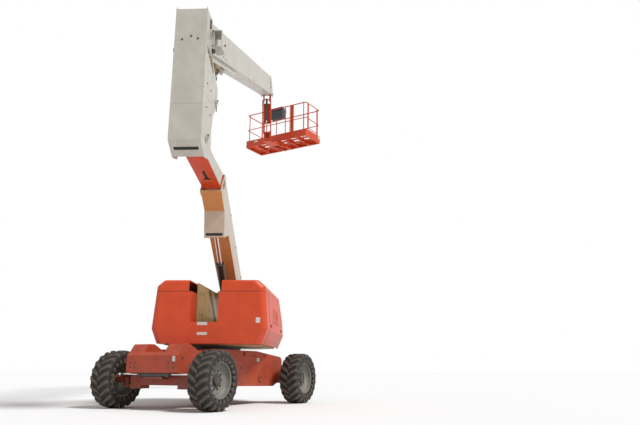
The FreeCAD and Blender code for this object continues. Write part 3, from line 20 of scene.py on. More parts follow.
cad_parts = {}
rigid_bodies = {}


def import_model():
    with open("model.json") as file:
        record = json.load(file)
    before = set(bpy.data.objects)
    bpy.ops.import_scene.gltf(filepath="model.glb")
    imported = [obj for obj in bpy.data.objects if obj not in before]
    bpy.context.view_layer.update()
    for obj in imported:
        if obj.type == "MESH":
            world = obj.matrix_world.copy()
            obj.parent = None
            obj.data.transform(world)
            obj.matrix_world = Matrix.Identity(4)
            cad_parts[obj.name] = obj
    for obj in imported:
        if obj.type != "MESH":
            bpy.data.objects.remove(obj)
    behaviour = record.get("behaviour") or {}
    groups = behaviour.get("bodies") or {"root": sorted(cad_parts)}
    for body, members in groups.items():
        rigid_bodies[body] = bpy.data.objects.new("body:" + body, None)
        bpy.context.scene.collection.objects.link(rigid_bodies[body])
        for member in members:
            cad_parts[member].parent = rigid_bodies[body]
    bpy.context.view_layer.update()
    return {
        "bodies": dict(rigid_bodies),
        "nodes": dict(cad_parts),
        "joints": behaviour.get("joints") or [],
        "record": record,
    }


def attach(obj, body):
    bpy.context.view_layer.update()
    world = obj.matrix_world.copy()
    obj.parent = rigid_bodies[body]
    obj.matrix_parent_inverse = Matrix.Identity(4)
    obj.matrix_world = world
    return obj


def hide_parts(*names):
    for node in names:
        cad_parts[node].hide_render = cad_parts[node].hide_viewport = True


log = logging.getLogger("boom_lift")

Array = np.ndarray
Shape = tuple[Array, list[list[int]]]
Span = tuple[float, float]
Place = tuple[float, float, float]
Colour = tuple[float, float, float]
Material = bpy.types.Material
Object = bpy.types.Object
Node = bpy.types.Node
Socket = bpy.types.NodeSocket
Tree = bpy.types.NodeTree


class Layout(float, Enum):
    """Angles in degrees at which the machine stands."""

    SWING = 23.0
    TOWER = 36.5
    MAIN = 20.36
    JIB = 80.0
    PLATFORM = 28.0


@dataclass(frozen=True)
class Frame:
    """A place in the model from which a sub-assembly is laid out."""

    matrix: Matrix

    def move(self, x: float = 0.0, y: float = 0.0, z: float = 0.0) -> Frame:
        """Returns the frame moved along its own axes."""
        return Frame(self.matrix @ Matrix.Translation((x, y, z)))

    def turn(self, axis: str, degrees: float) -> Frame:
        """Returns the frame turned about one of its own axes."""
        return Frame(self.matrix @ Matrix.Rotation(math.radians(degrees), 4, axis))

    def carry(self, points: Array) -> Array:
        """Returns points given in this frame as points of the model.

        Args:
            points: an array of shape (..., 3).

        Returns:
            An array of the same shape.
        """
        matrix = np.array(self.matrix)
        return points @ matrix[:3, :3].T + matrix[:3, 3]


# half the wheelbase, half the track and the level of the axles
AXLE_REACH = 1.525
HALF_TRACK = 1.04
AXLE_LEVEL = 0.5

# joints, each in the frame of the piece that carries it
TOWER_FOOT = (1.593, 0.0, 2.291)
UPRIGHT_FOOT = (4.786, 0.0, -0.918)
MAIN_FOOT = (-0.050, 0.0, 1.908)
MAIN_NOSE = (9.624, 0.0, -0.262)
CRADLE_PIN = (1.250, 0.0, 0.0)
ROTATOR = (0.165, 0.0, 0.0)

GROUND = Frame(Matrix.Identity(4))
DECK = GROUND.turn("Z", Layout.SWING)
TOWER = DECK.move(*TOWER_FOOT).turn("Z", 180).turn("Y", -Layout.TOWER)
UPRIGHT = TOWER.move(*UPRIGHT_FOOT).turn("Y", Layout.TOWER).turn("Z", 180)
MAIN = UPRIGHT.move(*MAIN_FOOT).turn("Y", -Layout.MAIN)
KNUCKLE = MAIN.move(*MAIN_NOSE).turn("Y", Layout.MAIN)
JIB = KNUCKLE.turn("Y", Layout.JIB)
CRADLE = JIB.move(*CRADLE_PIN).turn("Y", -Layout.JIB)
PLATFORM = CRADLE.move(*ROTATOR).turn("Z", -Layout.PLATFORM)

# sign of y and the way out on each side of the machine
BOTH_SIDES = ((1, "+y"), (-1, "-y"))

# faces that meet at more than this angle, in degrees, keep a sharp edge
SHARP_EDGE = 35

# how deep a fitting's foot stands in the surface that carries it
SINK = 0.0005

# how far a blank plate stands out
PLATE = 0.0018

# levels of a dark sheet of painted shade that stands for a slot on an underside
UNDER_SLOT_SHADE = (-0.0022, 0.0010)


# Meshes


def mesh_piece(name: str, points: Array, faces: Sequence[Sequence[int]], body: str, material: Material,
               slot: str) -> Object:
    """Makes a piece from points and faces, and lets it ride on a body.

    Args:
        name: the piece's name.
        points: an array of shape (n, 3), in the model's frame.
        faces: corner numbers of each face.
        body: the body that carries the piece.
        material: its finish.
        slot: the record's material slot; not used.

    Returns:
        The object, at the origin.
    """
    mesh = bpy.data.meshes.new(name)
    mesh.from_pydata(np.asarray(points, float).tolist(), [], [list(map(int, face)) for face in faces])
    mesh.validate()
    mesh.materials.append(material)
    item = bpy.data.objects.new(name, mesh)
    bpy.context.scene.collection.objects.link(item)
    mesh.shade_smooth()
    mesh.set_sharp_from_angle(angle=math.radians(SHARP_EDGE))
    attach(item, body)
    log.info("%s: %d faces on %s", name, len(mesh.polygons), body)
    return item


def grid_faces(rows: int, columns: int, wrap_rows: bool = False) -> Array:
    """Returns the quads of a grid of points numbered row by row, where each row is a closed loop.

    Args:
        rows: number of rows of points.
        columns: number of points in a row.
        wrap_rows: whether the last row joins the first.

    Returns:
        An array of shape (quads, 4).
    """
    row = np.arange(rows if wrap_rows else rows - 1)[:, None]
    column = np.arange(columns)[None, :]
    row_next, column_next = (row + 1) % rows, (column + 1) % columns
    corners = (row * columns + column, row * columns + column_next,
               row_next * columns + column_next, row_next * columns + column)
    return np.stack([np.broadcast_to(c, (row.size, columns)) for c in corners], -1).reshape(-1, 4)


@dataclass
class Batch:
    """Collects several closed shapes into one mesh."""

    points: list[Array] = field(default_factory=list)
    faces: list[list[int]] = field(default_factory=list)
    count: int = 0

    def add(self, points: Array, faces: Sequence[Sequence[int]]) -> None:
        """Adds a shape.

        Args:
            points: its points, in the model's frame.
            faces: corner numbers of its faces, counted from its own first point.
        """
        self.points.append(points)
        self.faces.extend([[int(i) + self.count for i in face] for face in faces])
        self.count += len(points)

    def build(self, name: str, body: str, material: Material, slot: str) -> Object:
        """Returns the collected shapes as one piece."""
        return mesh_piece(name, np.concatenate(self.points), self.faces, body, material, slot)


def capped_rings(rings: Array) -> Shape:
    """Joins rings of points into a closed tube.

    Args:
        rings: an array of shape (rings, corners, 3); the corners turn by the right hand about the way along.

    Returns:
        The points and the faces, end caps included.
    """
    count, corners = rings.shape[:2]
    faces = grid_faces(count, corners).tolist()
    faces.append(list(range(corners))[::-1])
    faces.append([(count - 1) * corners + i for i in range(corners)])
    return rings.reshape(-1, 3), faces


def prism(outline: Array, low: float, high: float, frame: Frame, axes: str = "xyz") -> Shape:
    """Carries a flat outline between two levels.

    Args:
        outline: points of shape (n, 2), counter-clockwise.
        low: first level.
        high: second level.
        frame: the frame that the outline is given in.
        axes: which axes the outline's first, its second and the level stand for.

    Returns:
        The points and the faces.
    """
    order = ["xyz".index(axis) for axis in axes]
    rings = np.zeros((2, len(outline), 3))
    for ring, level in enumerate((low, high)):
        rings[ring][:, order[0]] = outline[:, 0]
        rings[ring][:, order[1]] = outline[:, 1]
        rings[ring][:, order[2]] = level
    if axes not in ("xyz", "yzx", "zxy"):
        rings = rings[:, ::-1]
    return capped_rings(frame.carry(rings))


def rounded(points: Sequence[Span], radii: Sequence[float] | float, steps: int = 5) -> Array:
    """Returns a closed outline with its corners rounded by arcs.

    Each corner is replaced by points of the circle that touches both of its sides.

    Args:
        points: the corners, counter-clockwise.
        radii: one radius, or one for each corner.
        steps: number of sides of each arc.

    Returns:
        An array of shape (n, 2).
    """
    corners = np.asarray(points, float)
    sizes = np.broadcast_to(np.asarray(radii, float), len(corners))
    out: list[Array] = []
    for corner, before, after, size in zip(corners, np.roll(corners, 1, 0), np.roll(corners, -1, 0), sizes):
        if size <= 0:
            out.append(corner[None])
            continue
        back, ahead = before - corner, after - corner
        back, ahead = back / np.linalg.norm(back), ahead / np.linalg.norm(ahead)
        half = math.acos(float(np.clip(back @ ahead, -1, 1))) / 2
        middle = (back + ahead) / np.linalg.norm(back + ahead)
        centre = corner + middle * size / math.sin(half)
        first, last = corner + back * size / math.tan(half), corner + ahead * size / math.tan(half)
        start, end = (np.arctan2(*(point - centre)[::-1]) for point in (first, last))
        turn = (end - start + math.pi) % (2 * math.pi) - math.pi
        angles = start + turn * np.linspace(0, 1, steps + 1)
        out.append(centre + size * np.stack([np.cos(angles), np.sin(angles)], -1))
    return np.concatenate(out)


def smooth_route(points: Sequence[Sequence[float]], samples: int) -> Array:
    """Returns points of the Catmull-Rom curve through the given points.

    Between two neighbours the point is the cubic whose slope at each is half the step between the
    points beside it.

    Args:
        points: the route.
        samples: number of points on the curve.

    Returns:
        An array of shape (samples, 3).
    """
    route = np.asarray(points, float)
    padded = np.concatenate([2 * route[:1] - route[1:2], route, 2 * route[-1:] - route[-2:-1]])
    place = np.linspace(0, len(route) - 1, samples)
    step = np.minimum(place.astype(int), len(route) - 2)
    t = (place - step)[:, None]
    a, b, c, e = (padded[step + i] for i in range(4))
    return 0.5 * (2 * b + (c - a) * t + (2 * a - 5 * b + 4 * c - e) * t ** 2
                  + (3 * b - a - 3 * c + e) * t ** 3)


def sweep(route: Array, radius: float, corners: int) -> Shape:
    """Carries a circle along a route.

    At each point of the route the circle stands square to the way along it, and turns as little as
    it can from the one before.

    Args:
        route: an array of shape (n, 3).
        radius: radius of the tube.
        corners: number of corners of the circle.

    Returns:
        The points and the faces of the closed tube.
    """
    ways = np.gradient(route, axis=0)
    ways /= np.linalg.norm(ways, axis=1, keepdims=True)
    side = np.cross(ways[0], (0, 0, 1) if abs(ways[0][2]) < 0.9 else (1, 0, 0))
    sides = np.zeros_like(route)
    for i, way in enumerate(ways):
        side = side - way * (side @ way)
        side /= np.linalg.norm(side)
        sides[i] = side
    ups = np.cross(ways, sides)
    angle = np.linspace(0, 2 * math.pi, corners, endpoint=False)
    rings = (route[:, None] + radius * (np.cos(angle)[None, :, None] * sides[:, None]
                                        + np.sin(angle)[None, :, None] * ups[:, None]))
    return capped_rings(rings)


def lathe(profile: Array, frame: Frame, segments: int) -> Shape:
    """Turns a closed profile about the frame's Y axis.

    A point at distance r from the axis and y along it goes to (r cos a, y, r sin a).

    Args:
        profile: points of shape (n, 2), as distance along the axis and radius.
        frame: its origin and Y axis are the axle.
        segments: number of steps round the axle.

    Returns:
        The points and the faces.
    """
    angle = np.linspace(0, 2 * math.pi, segments, endpoint=False)[:, None]
    along, radius = profile[None, :, 0], profile[None, :, 1]
    points = np.stack([radius * np.cos(angle), np.broadcast_to(along, (segments, len(profile))),
                       radius * np.sin(angle)], -1)
    faces = grid_faces(segments, len(profile), wrap_rows=True)
    return frame.carry(points.reshape(-1, 3)), faces.tolist()


# Shader groups and finishes


@dataclass
class Nodes:
    """Builds a node tree with short calls."""

    tree: Tree

    def add(self, kind: str, **settings: object) -> Node:
        """Adds a node.

        Args:
            kind: the node's type.
            settings: its properties, by name.

        Returns:
            The node.
        """
        node = self.tree.nodes.new(kind)
        for name, value in settings.items():
            setattr(node, name, value)
        return node

    def link(self, source: Socket, target: Socket) -> None:
        """Links two sockets."""
        self.tree.links.new(source, target)

    def feed(self, socket: Socket, value: object) -> None:
        """Gives an input its value.

        Args:
            socket: the input.
            value: a number, a colour, or the socket that it is linked to.
        """
        if isinstance(value, Socket):
            self.link(value, socket)
        elif socket.type == "RGBA":
            socket.default_value = (*value, 1.0)
        else:
            socket.default_value = value

    def math(self, operation: str, first: object, second: object = 0.0, clamp: bool = False) -> Socket:
        """Works out one operation on two values.

        Args:
            operation: the Math node's operation.
            first: its first value.
            second: its second value.
            clamp: whether the result stays between 0 and 1.

        Returns:
            The result.
        """
        node = self.add("ShaderNodeMath", operation=operation, use_clamp=clamp)
        self.feed(node.inputs[0], first)
        self.feed(node.inputs[1], second)
        return node.outputs[0]

    def shares(self, first: object, second: object, share: float) -> Socket:
        """Returns the first value by its share plus the second by the rest."""
        return self.math("ADD", self.math("MULTIPLY", first, share), self.math("MULTIPLY", second, 1 - share))

    def mix(self, factor: object, first: object, second: object) -> Socket:
        """Mixes two colours.

        Args:
            factor: 0 for the first colour, 1 for the second.
            first: the first colour.
            second: the second colour.

        Returns:
            The mixed colour.
        """
        node = self.add("ShaderNodeMix", data_type="RGBA")
        for number, value in ((0, factor), (6, first), (7, second)):
            self.feed(node.inputs[number], value)
        return node.outputs[2]

    def noise(self, vector: Socket, scale: object, detail: float, rough: float) -> Socket:
        """Places a noise texture.

        Args:
            vector: where it is read.
            scale: waves in a metre.
            detail: number of finer layers.
            rough: strength of each finer layer beside the one before.

        Returns:
            Its strength.
        """
        node = self.add("ShaderNodeTexNoise")
        for name, value in (("Vector", vector), ("Scale", scale), ("Detail", detail), ("Roughness", rough)):
            self.feed(node.inputs[name], value)
        return node.outputs["Fac"]

    def ramp(self, value: object, low: object, high: object) -> Socket:
        """Steps smoothly from 0 at a low value to 1 at a high one.

        Args:
            value: the value that is read.
            low: where the step starts.
            high: where it ends.

        Returns:
            The step.
        """
        node = self.add("ShaderNodeMapRange", interpolation_type="SMOOTHSTEP")
        for name, number in (("Value", value), ("From Min", low), ("From Max", high)):
            self.feed(node.inputs[name], number)
        return node.outputs["Result"]


def make_group(name: str, inputs: dict[str, float], outputs: Sequence[str],
               fill: Callable[[Nodes, Node, Node], None]) -> Tree:
    """Makes a shader node group with number inputs, a Vector input and number outputs.

    Args:
        name: the group's name.
        inputs: number inputs with their usual values.
        outputs: names of its outputs.
        fill: builds the nodes between the group's input and output nodes.

    Returns:
        The group.
    """
    group = bpy.data.node_groups.new(name, "ShaderNodeTree")
    group.interface.new_socket(name="Vector", in_out="INPUT", socket_type="NodeSocketVector")
    for key, value in inputs.items():
        socket = group.interface.new_socket(name=key, in_out="INPUT", socket_type="NodeSocketFloat")
        socket.default_value = value
    for key in outputs:
        group.interface.new_socket(name=key, in_out="OUTPUT", socket_type="NodeSocketFloat")
    nodes = Nodes(group)
    fill(nodes, nodes.add("NodeGroupInput"), nodes.add("NodeGroupOutput"))
    return group


class Effects:
    """Shader groups that several finishes share.

    Each method that fills a group takes its node builder, its input node and its output node.
    """

    def __init__(self) -> None:
        """Builds the groups."""
        self.dust = make_group("road dust", {"Scale": 3.0, "Low": 0.0, "High": 1.6}, ["Mask"], self._dust)
        self.mottle = make_group("mottle", {"Scale": 6.0, "Fine": 60.0}, ["Value"], self._mottle)
        self.scuffs = make_group("scuffs", {"Scale": 9.0, "Amount": 0.3}, ["Mask"], self._scuffs)
        self.peel = make_group("paint surface", {"Wave": 9.0, "Grain": 260.0, "Share": 0.3}, ["Height"],
                               self._peel)

    @staticmethod
    def _dust(n: Nodes, given: Node, out: Node) -> None:
        """Dust thins from the low level to the high one, broken up by noise of two sizes."""
        split = n.add("ShaderNodeSeparateXYZ")
        n.link(given.outputs["Vector"], split.inputs[0])
        level = n.ramp(split.outputs["Z"], given.outputs["High"], given.outputs["Low"])
        broad = n.noise(given.outputs["Vector"], given.outputs["Scale"], 6, 0.65)
        fine = n.noise(given.outputs["Vector"], n.math("MULTIPLY", given.outputs["Scale"], 11), 3, 0.6)
        patch = n.ramp(n.shares(broad, fine, 0.7), 0.32, 0.68)
        n.link(n.math("MULTIPLY", level, patch, True), out.inputs["Mask"])

    @staticmethod
    def _mottle(n: Nodes, given: Node, out: Node) -> None:
        """Broad noise with a little fine noise on it."""
        broad = n.noise(given.outputs["Vector"], given.outputs["Scale"], 5, 0.6)
        fine = n.noise(given.outputs["Vector"], given.outputs["Fine"], 2, 0.5)
        n.link(n.shares(broad, fine, 0.75), out.inputs["Value"])

    @staticmethod
    def _scuffs(n: Nodes, given: Node, out: Node) -> None:
        """Sparse spots where stretched noise passes a threshold set by the amount."""
        stretch = n.add("ShaderNodeMapping")
        n.link(given.outputs["Vector"], stretch.inputs["Vector"])
        stretch.inputs["Scale"].default_value = (1.0, 1.0, 2.6)
        noise = n.noise(stretch.outputs[0], given.outputs["Scale"], 8, 0.72)
        edge = n.math("SUBTRACT", 0.78, n.math("MULTIPLY", given.outputs["Amount"], 0.3))
        n.link(n.ramp(noise, edge, n.math("ADD", edge, 0.06)), out.inputs["Mask"])

    @staticmethod
    def _peel(n: Nodes, given: Node, out: Node) -> None:
        """A slow wave with fine grain on it."""
        wave = n.noise(given.outputs["Vector"], given.outputs["Wave"], 2, 0.5)
        grain = n.noise(given.outputs["Vector"], given.outputs["Grain"], 1, 0.5)
        n.link(n.math("ADD", wave, n.math("MULTIPLY", grain, given.outputs["Share"])), out.inputs["Height"])


@dataclass(frozen=True)
class Finish:
    """One surface finish.

    A base colour drifts to a second one by mottling. Faces that face down may take a colour of painted
    bounce light, reflected light painted into the surface. Scuffs and dust lie on it, and a bump gives
    the surface its wave and grain.
    """

    name: str
    base: Colour
    drift: Colour
    rough: float
    metal: float = 0.0
    coat: float = 0.0
    dust: float = 0.0
    dust_colour: Colour = (0.42, 0.33, 0.25)
    dust_top: float = 1.7
    dust_scale: float = 2.6
    scuff: float = 0.0
    scuff_scale: float = 9.0
    scuff_colour: Colour = (0.16, 0.12, 0.10)
    mottle_scale: float = 4.0
    rough_swing: float = 0.12
    bump: float = 0.05
    wave: float = 9.0
    grain: float = 260.0
    grain_share: float = 0.3
    bump_depth: float = 0.002
    # painted bounce light: the colour of reflected light painted on faces that face down
    under: Colour | None = None

    def build(self, effects: Effects) -> Material:
        """Makes the finish as a material on Object coordinates.

        Args:
            effects: the shared shader groups.

        Returns:
            The material.
        """
        material = bpy.data.materials.new(self.name)
        material.use_nodes = True
        material.node_tree.nodes.clear()
        n = Nodes(material.node_tree)
        where = n.add("ShaderNodeTexCoord").outputs["Object"]
        mottle = self._group(n, effects.mottle, where, Scale=self.mottle_scale, Fine=self.mottle_scale * 14)
        colour = n.mix(n.ramp(mottle, 0.35, 0.65), self.base, self.drift)
        rough = n.math("ADD", n.math("MULTIPLY", mottle, self.rough_swing), self.rough - self.rough_swing / 2)
        # painted bounce light: faces that face down take the under colour
        if self.under:
            painted_bounce_facing_down = n.add("ShaderNodeSeparateXYZ")
            n.link(n.add("ShaderNodeNewGeometry").outputs["True Normal"], painted_bounce_facing_down.inputs[0])
            mask = n.ramp(n.math("MULTIPLY", painted_bounce_facing_down.outputs["Z"], -1.0), 0.02, 0.55)
            colour = n.mix(mask, colour, self.under)
        if self.scuff:
            mask = self._group(n, effects.scuffs, where, Scale=self.scuff_scale, Amount=self.scuff)
            colour = n.mix(n.math("MULTIPLY", mask, 0.75), colour, self.scuff_colour)
            rough = n.math("ADD", rough, n.math("MULTIPLY", mask, 0.25), True)
        if self.dust:
            mask = self._group(n, effects.dust, where, Scale=self.dust_scale, Low=0.0, High=self.dust_top)
            cover = n.math("MULTIPLY", mask, self.dust)
            colour = n.mix(cover, colour, self.dust_colour)
            rough = n.math("ADD", rough, n.math("MULTIPLY", cover, 0.45), True)
        shader = n.add("ShaderNodeBsdfPrincipled")
        n.link(colour, shader.inputs["Base Color"])
        n.link(rough, shader.inputs["Roughness"])
        shader.inputs["Metallic"].default_value = self.metal
        shader.inputs["Coat Weight"].default_value = self.coat
        shader.inputs["Coat Roughness"].default_value = 0.08
        if self.bump:
            height = self._group(n, effects.peel, where, Wave=self.wave, Grain=self.grain,
                                 Share=self.grain_share)
            bump = n.add("ShaderNodeBump")
            bump.inputs["Strength"].default_value = self.bump
            bump.inputs["Distance"].default_value = self.bump_depth
            n.link(height, bump.inputs["Height"])
            n.link(bump.outputs[0], shader.inputs["Normal"])
        out = n.add("ShaderNodeOutputMaterial")
        n.link(shader.outputs[0], out.inputs["Surface"])
        return material

    @staticmethod
    def _group(n: Nodes, tree: Tree, where: Socket, **values: float) -> Socket:
        """Places a shared group in the material.

        Args:
            n: the material's node builder.
            tree: the group.
            where: the coordinates that it reads.
            values: its inputs, by name.

        Returns:
            Its output.
        """
        node = n.add("ShaderNodeGroup", node_tree=tree)
        n.link(where, node.inputs["Vector"])
        for key, value in values.items():
            node.inputs[key].default_value = value
        return node.outputs[0]


PALE_SCUFF = (0.30, 0.25, 0.20)

FINISHES = [
    Finish("cover orange", (0.60, 0.055, 0.004), (0.53, 0.045, 0.004), 0.45, coat=0.04, dust=0.05,
           dust_top=2.0, scuff=0.05),
    # the chassis's orange is the hoods' orange darkened with painted shade, as the chassis stands in shade;
    # its dust and scuffs are real wear
    Finish("chassis orange", (0.44, 0.044, 0.006), (0.32, 0.032, 0.006), 0.52, dust=0.18, scuff=0.28),
    Finish("boom orange", (0.60, 0.056, 0.006), (0.52, 0.046, 0.006), 0.45, coat=0.05, scuff=0.12),
    Finish("boom cream", (0.50, 0.475, 0.415), (0.44, 0.41, 0.35), 0.42, coat=0.10, scuff=0.10,
           scuff_colour=PALE_SCUFF),
    # the tower's under colour is painted bounce light, orange light reflected onto its downward faces
    Finish("tower cream", (0.52, 0.455, 0.375), (0.46, 0.40, 0.32), 0.42, coat=0.10, scuff=0.12,
           scuff_colour=PALE_SCUFF, under=(0.58, 0.25, 0.085)),
    Finish("lug rubber", (0.058, 0.047, 0.037), (0.080, 0.064, 0.050), 0.82, dust=0.5,
           dust_colour=(0.19, 0.15, 0.115), dust_top=1.2, bump=0.3, wave=20, grain=300, grain_share=0.8),
    Finish("tyre wall", (0.011, 0.010, 0.010), (0.018, 0.016, 0.015), 0.75, dust=0.22,
           dust_colour=(0.075, 0.060, 0.048), dust_top=1.4, bump=0.25, wave=24, grain=320, grain_share=0.8),
    Finish("rim paint", (0.15, 0.165, 0.15), (0.115, 0.125, 0.115), 0.48, dust=0.5, scuff=0.3, dust_top=1.3),
    Finish("axle paint", (0.28, 0.032, 0.008), (0.17, 0.024, 0.009), 0.55, dust=0.28, dust_top=1.0,
           scuff=0.4),
    Finish("tan panel", (0.50, 0.33, 0.14), (0.42, 0.27, 0.11), 0.45, dust=0.15, scuff=0.15),
    Finish("joint rubber", (0.10, 0.018, 0.010), (0.07, 0.015, 0.010), 0.7),
    # painted shade: near-black sheets that stand for the shade inside slots
    Finish("recess", (0.012, 0.012, 0.013), (0.02, 0.019, 0.018), 0.8),
    Finish("dark fastener", (0.07, 0.06, 0.05), (0.11, 0.09, 0.075), 0.45, metal=0.6),
    Finish("black steel", (0.022, 0.022, 0.024), (0.035, 0.033, 0.032), 0.42, dust=0.2),
    Finish("rod chrome", (0.72, 0.72, 0.72), (0.66, 0.66, 0.67), 0.16, metal=1.0, bump=0.02),
    Finish("pin steel", (0.40, 0.39, 0.38), (0.33, 0.32, 0.31), 0.38, metal=0.9),
    Finish("console moulding", (0.035, 0.045, 0.06), (0.05, 0.06, 0.075), 0.55, bump=0.2, grain=500,
           grain_share=0.8),
    Finish("power pack", (0.05, 0.05, 0.052), (0.08, 0.075, 0.07), 0.6, dust=0.3, dust_top=2.6),
    Finish("blank plate", (0.62, 0.60, 0.55), (0.55, 0.53, 0.48), 0.42),
]


class Palette:
    """The finishes as materials."""

    def __init__(self) -> None:
        """Builds every finish once."""
        effects = Effects()
        self._items = {finish.name: finish.build(effects) for finish in FINISHES}

    def __getitem__(self, name: str) -> Material:
        """Returns a material by its name."""
        return self._items[name]


# finish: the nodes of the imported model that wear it
WEARERS = {
    "chassis orange": ("chassis_frame", "tie_down_eyes"),
    "axle paint": ("steer_axle", "drive_axle", "knuckle_left", "knuckle_right"),
    "black steel": ("steer_cylinder", "swing_bearing", "tower_cylinder_barrel", "main_cylinder_barrel",
                    "jib_cylinder_barrel"),
    "rod chrome": ("steer_rod", "tower_cylinder_rod", "main_cylinder_rod", "jib_cylinder_rod"),
    "tan panel": ("deck_frame",),
    "pin steel": ("deck_pins", "upright_pins"),
    "cover orange": ("counterweight", "hood_left", "hood_right"),
    "power pack": ("engine_block",),
    "tower cream": ("tower_base",),
    "boom cream": ("upright", "main_base", "main_fly", "main_nose"),
    "boom orange": ("tower_fly", "jib_knuckle", "jib_arm", "jib_link", "platform_cradle", "rotator",
                    "platform_bracket", "platform_floor", "platform_rails", "platform_gate"),
    "console moulding": ("control_console",),
    "tyre wall": ("tyre_front_left", "tyre_front_right", "tyre_rear_left", "tyre_rear_right"),
    "rim paint": ("rim_front_left", "rim_front_right", "rim_rear_left", "rim_rear_right"),
}
NODE_FINISH = {node: finish for finish, nodes in WEARERS.items() for node in nodes}


# Small shapes


def turned(profile: Sequence[Span], frame: Frame, corners: int) -> Shape:
    """Turns an open profile about the frame's Z axis and closes its ends flat.

    A point of the profile at level l and radius r goes to (r cos a, r sin a, l).

    Args:
        profile: level and radius, in order; where it climbs along Z the surface faces away from the axis.
        frame: the frame whose Z axis is the axis of the turned shape.
        corners: number of steps round the axis.

    Returns:
        The points and the faces.
    """
    shape = np.asarray(profile, float)
    angle = np.linspace(0, 2 * math.pi, corners, endpoint=False)
    rings = np.stack([shape[:, 1:] * np.cos(angle), shape[:, 1:] * np.sin(angle),
                      np.broadcast_to(shape[:, :1], (len(shape), corners))], -1)
    return capped_rings(frame.carry(rings))


def add_bolt(batch: Batch, frame: Frame, radius: float, height: float) -> None:
    """Adds a hexagon head on a washer; the frame's Z axis points out of the surface."""
    batch.add(*turned([(-0.001, radius * 1.5), (height * 0.2, radius * 1.5)], frame, 12))
    batch.add(*turned([(height * 0.15, radius), (height * 0.9, radius), (height, radius * 0.86)], frame, 6))


def facing(frame: Frame, way: str) -> Frame:
    """Returns the frame turned so that its Z axis points along one of the old axes, such as -x."""
    turns = {"+x": ("Y", 90), "-x": ("Y", -90), "+y": ("X", -90), "-y": ("X", 90), "+z": ("X", 0),
             "-z": ("X", 180)}
    return frame.turn(*turns[way])


def add_bolts(batch: Batch, frame: Frame, places: Sequence[Place], way: str, radius: float,
              height: float) -> None:
    """Adds bolts that all point one way.

    Args:
        batch: takes the bolts.
        frame: the frame that the places are given in.
        places: where they stand.
        way: the axis that they point along, such as -x.
        radius: radius of the head.
        height: height of the head.
    """
    for place in places:
        add_bolt(batch, facing(frame.move(*place), way), radius, height)


def add_bolt_ring(batch: Batch, frame: Frame, count: int, reach: float, radius: float, height: float) -> None:
    """Adds bolts at equal angles round the frame's Z axis, the first on its X axis.

    Args:
        batch: takes the bolts.
        frame: its Z axis is the ring's and points out of the surface.
        count: number of bolts.
        reach: radius of the ring.
        radius: radius of a head.
        height: height of a head.
    """
    for number in range(count):
        add_bolt(batch, frame.turn("Z", 360 / count * number).move(x=reach), radius, height)


def on_side(places: Sequence[Span], y: float) -> list[Place]:
    """Returns places that are given by x and z at one y."""
    return [(x, y, z) for x, z in places]


def add_box(batch: Batch, frame: Frame, x: Span, y: Span, z: Span, radius: float) -> None:
    """Adds a block between levels along the frame's axes, with its edges along Z rounded."""
    corners = [(x[0], y[0]), (x[1], y[0]), (x[1], y[1]), (x[0], y[1])]
    batch.add(*prism(rounded(corners, radius, 4), z[0], z[1], frame))


def add_pad(batch: Batch, frame: Frame, half_x: float, half_y: float, depth: float, radius: float) -> None:
    """Adds a block that stands on a surface with its middle on the frame; Z points out of the surface."""
    add_box(batch, frame, (-half_x, half_x), (-half_y, half_y), (-SINK, depth), radius)


def add_pin_cap(batch: Batch, bolts: Batch, frame: Frame, radius: float) -> None:
    """Adds a pin's end with a keeper plate and two bolts.

    Args:
        batch: takes the cap and the keeper.
        bolts: takes the bolts.
        frame: stands on the pin's axis; Z points out of the surface.
        radius: radius of the cap.
    """
    keeper = 0.018
    batch.add(*turned([(-0.001, radius), (0.010, radius), (0.014, radius * 0.9)], frame, 28))
    add_box(batch, frame, (-radius * 0.5, radius * 0.5), (radius * 0.3, radius * 1.45), (-SINK, keeper),
            0.008)
    for sign in (-1, 1):
        add_bolt(bolts, frame.move(radius * 0.3 * sign, radius * 1.15, keeper), 0.009, 0.010)


# Sub-assemblies


class Side(int, Enum):
    """Which side of the machine a piece is on."""

    LEFT = 1
    RIGHT = -1


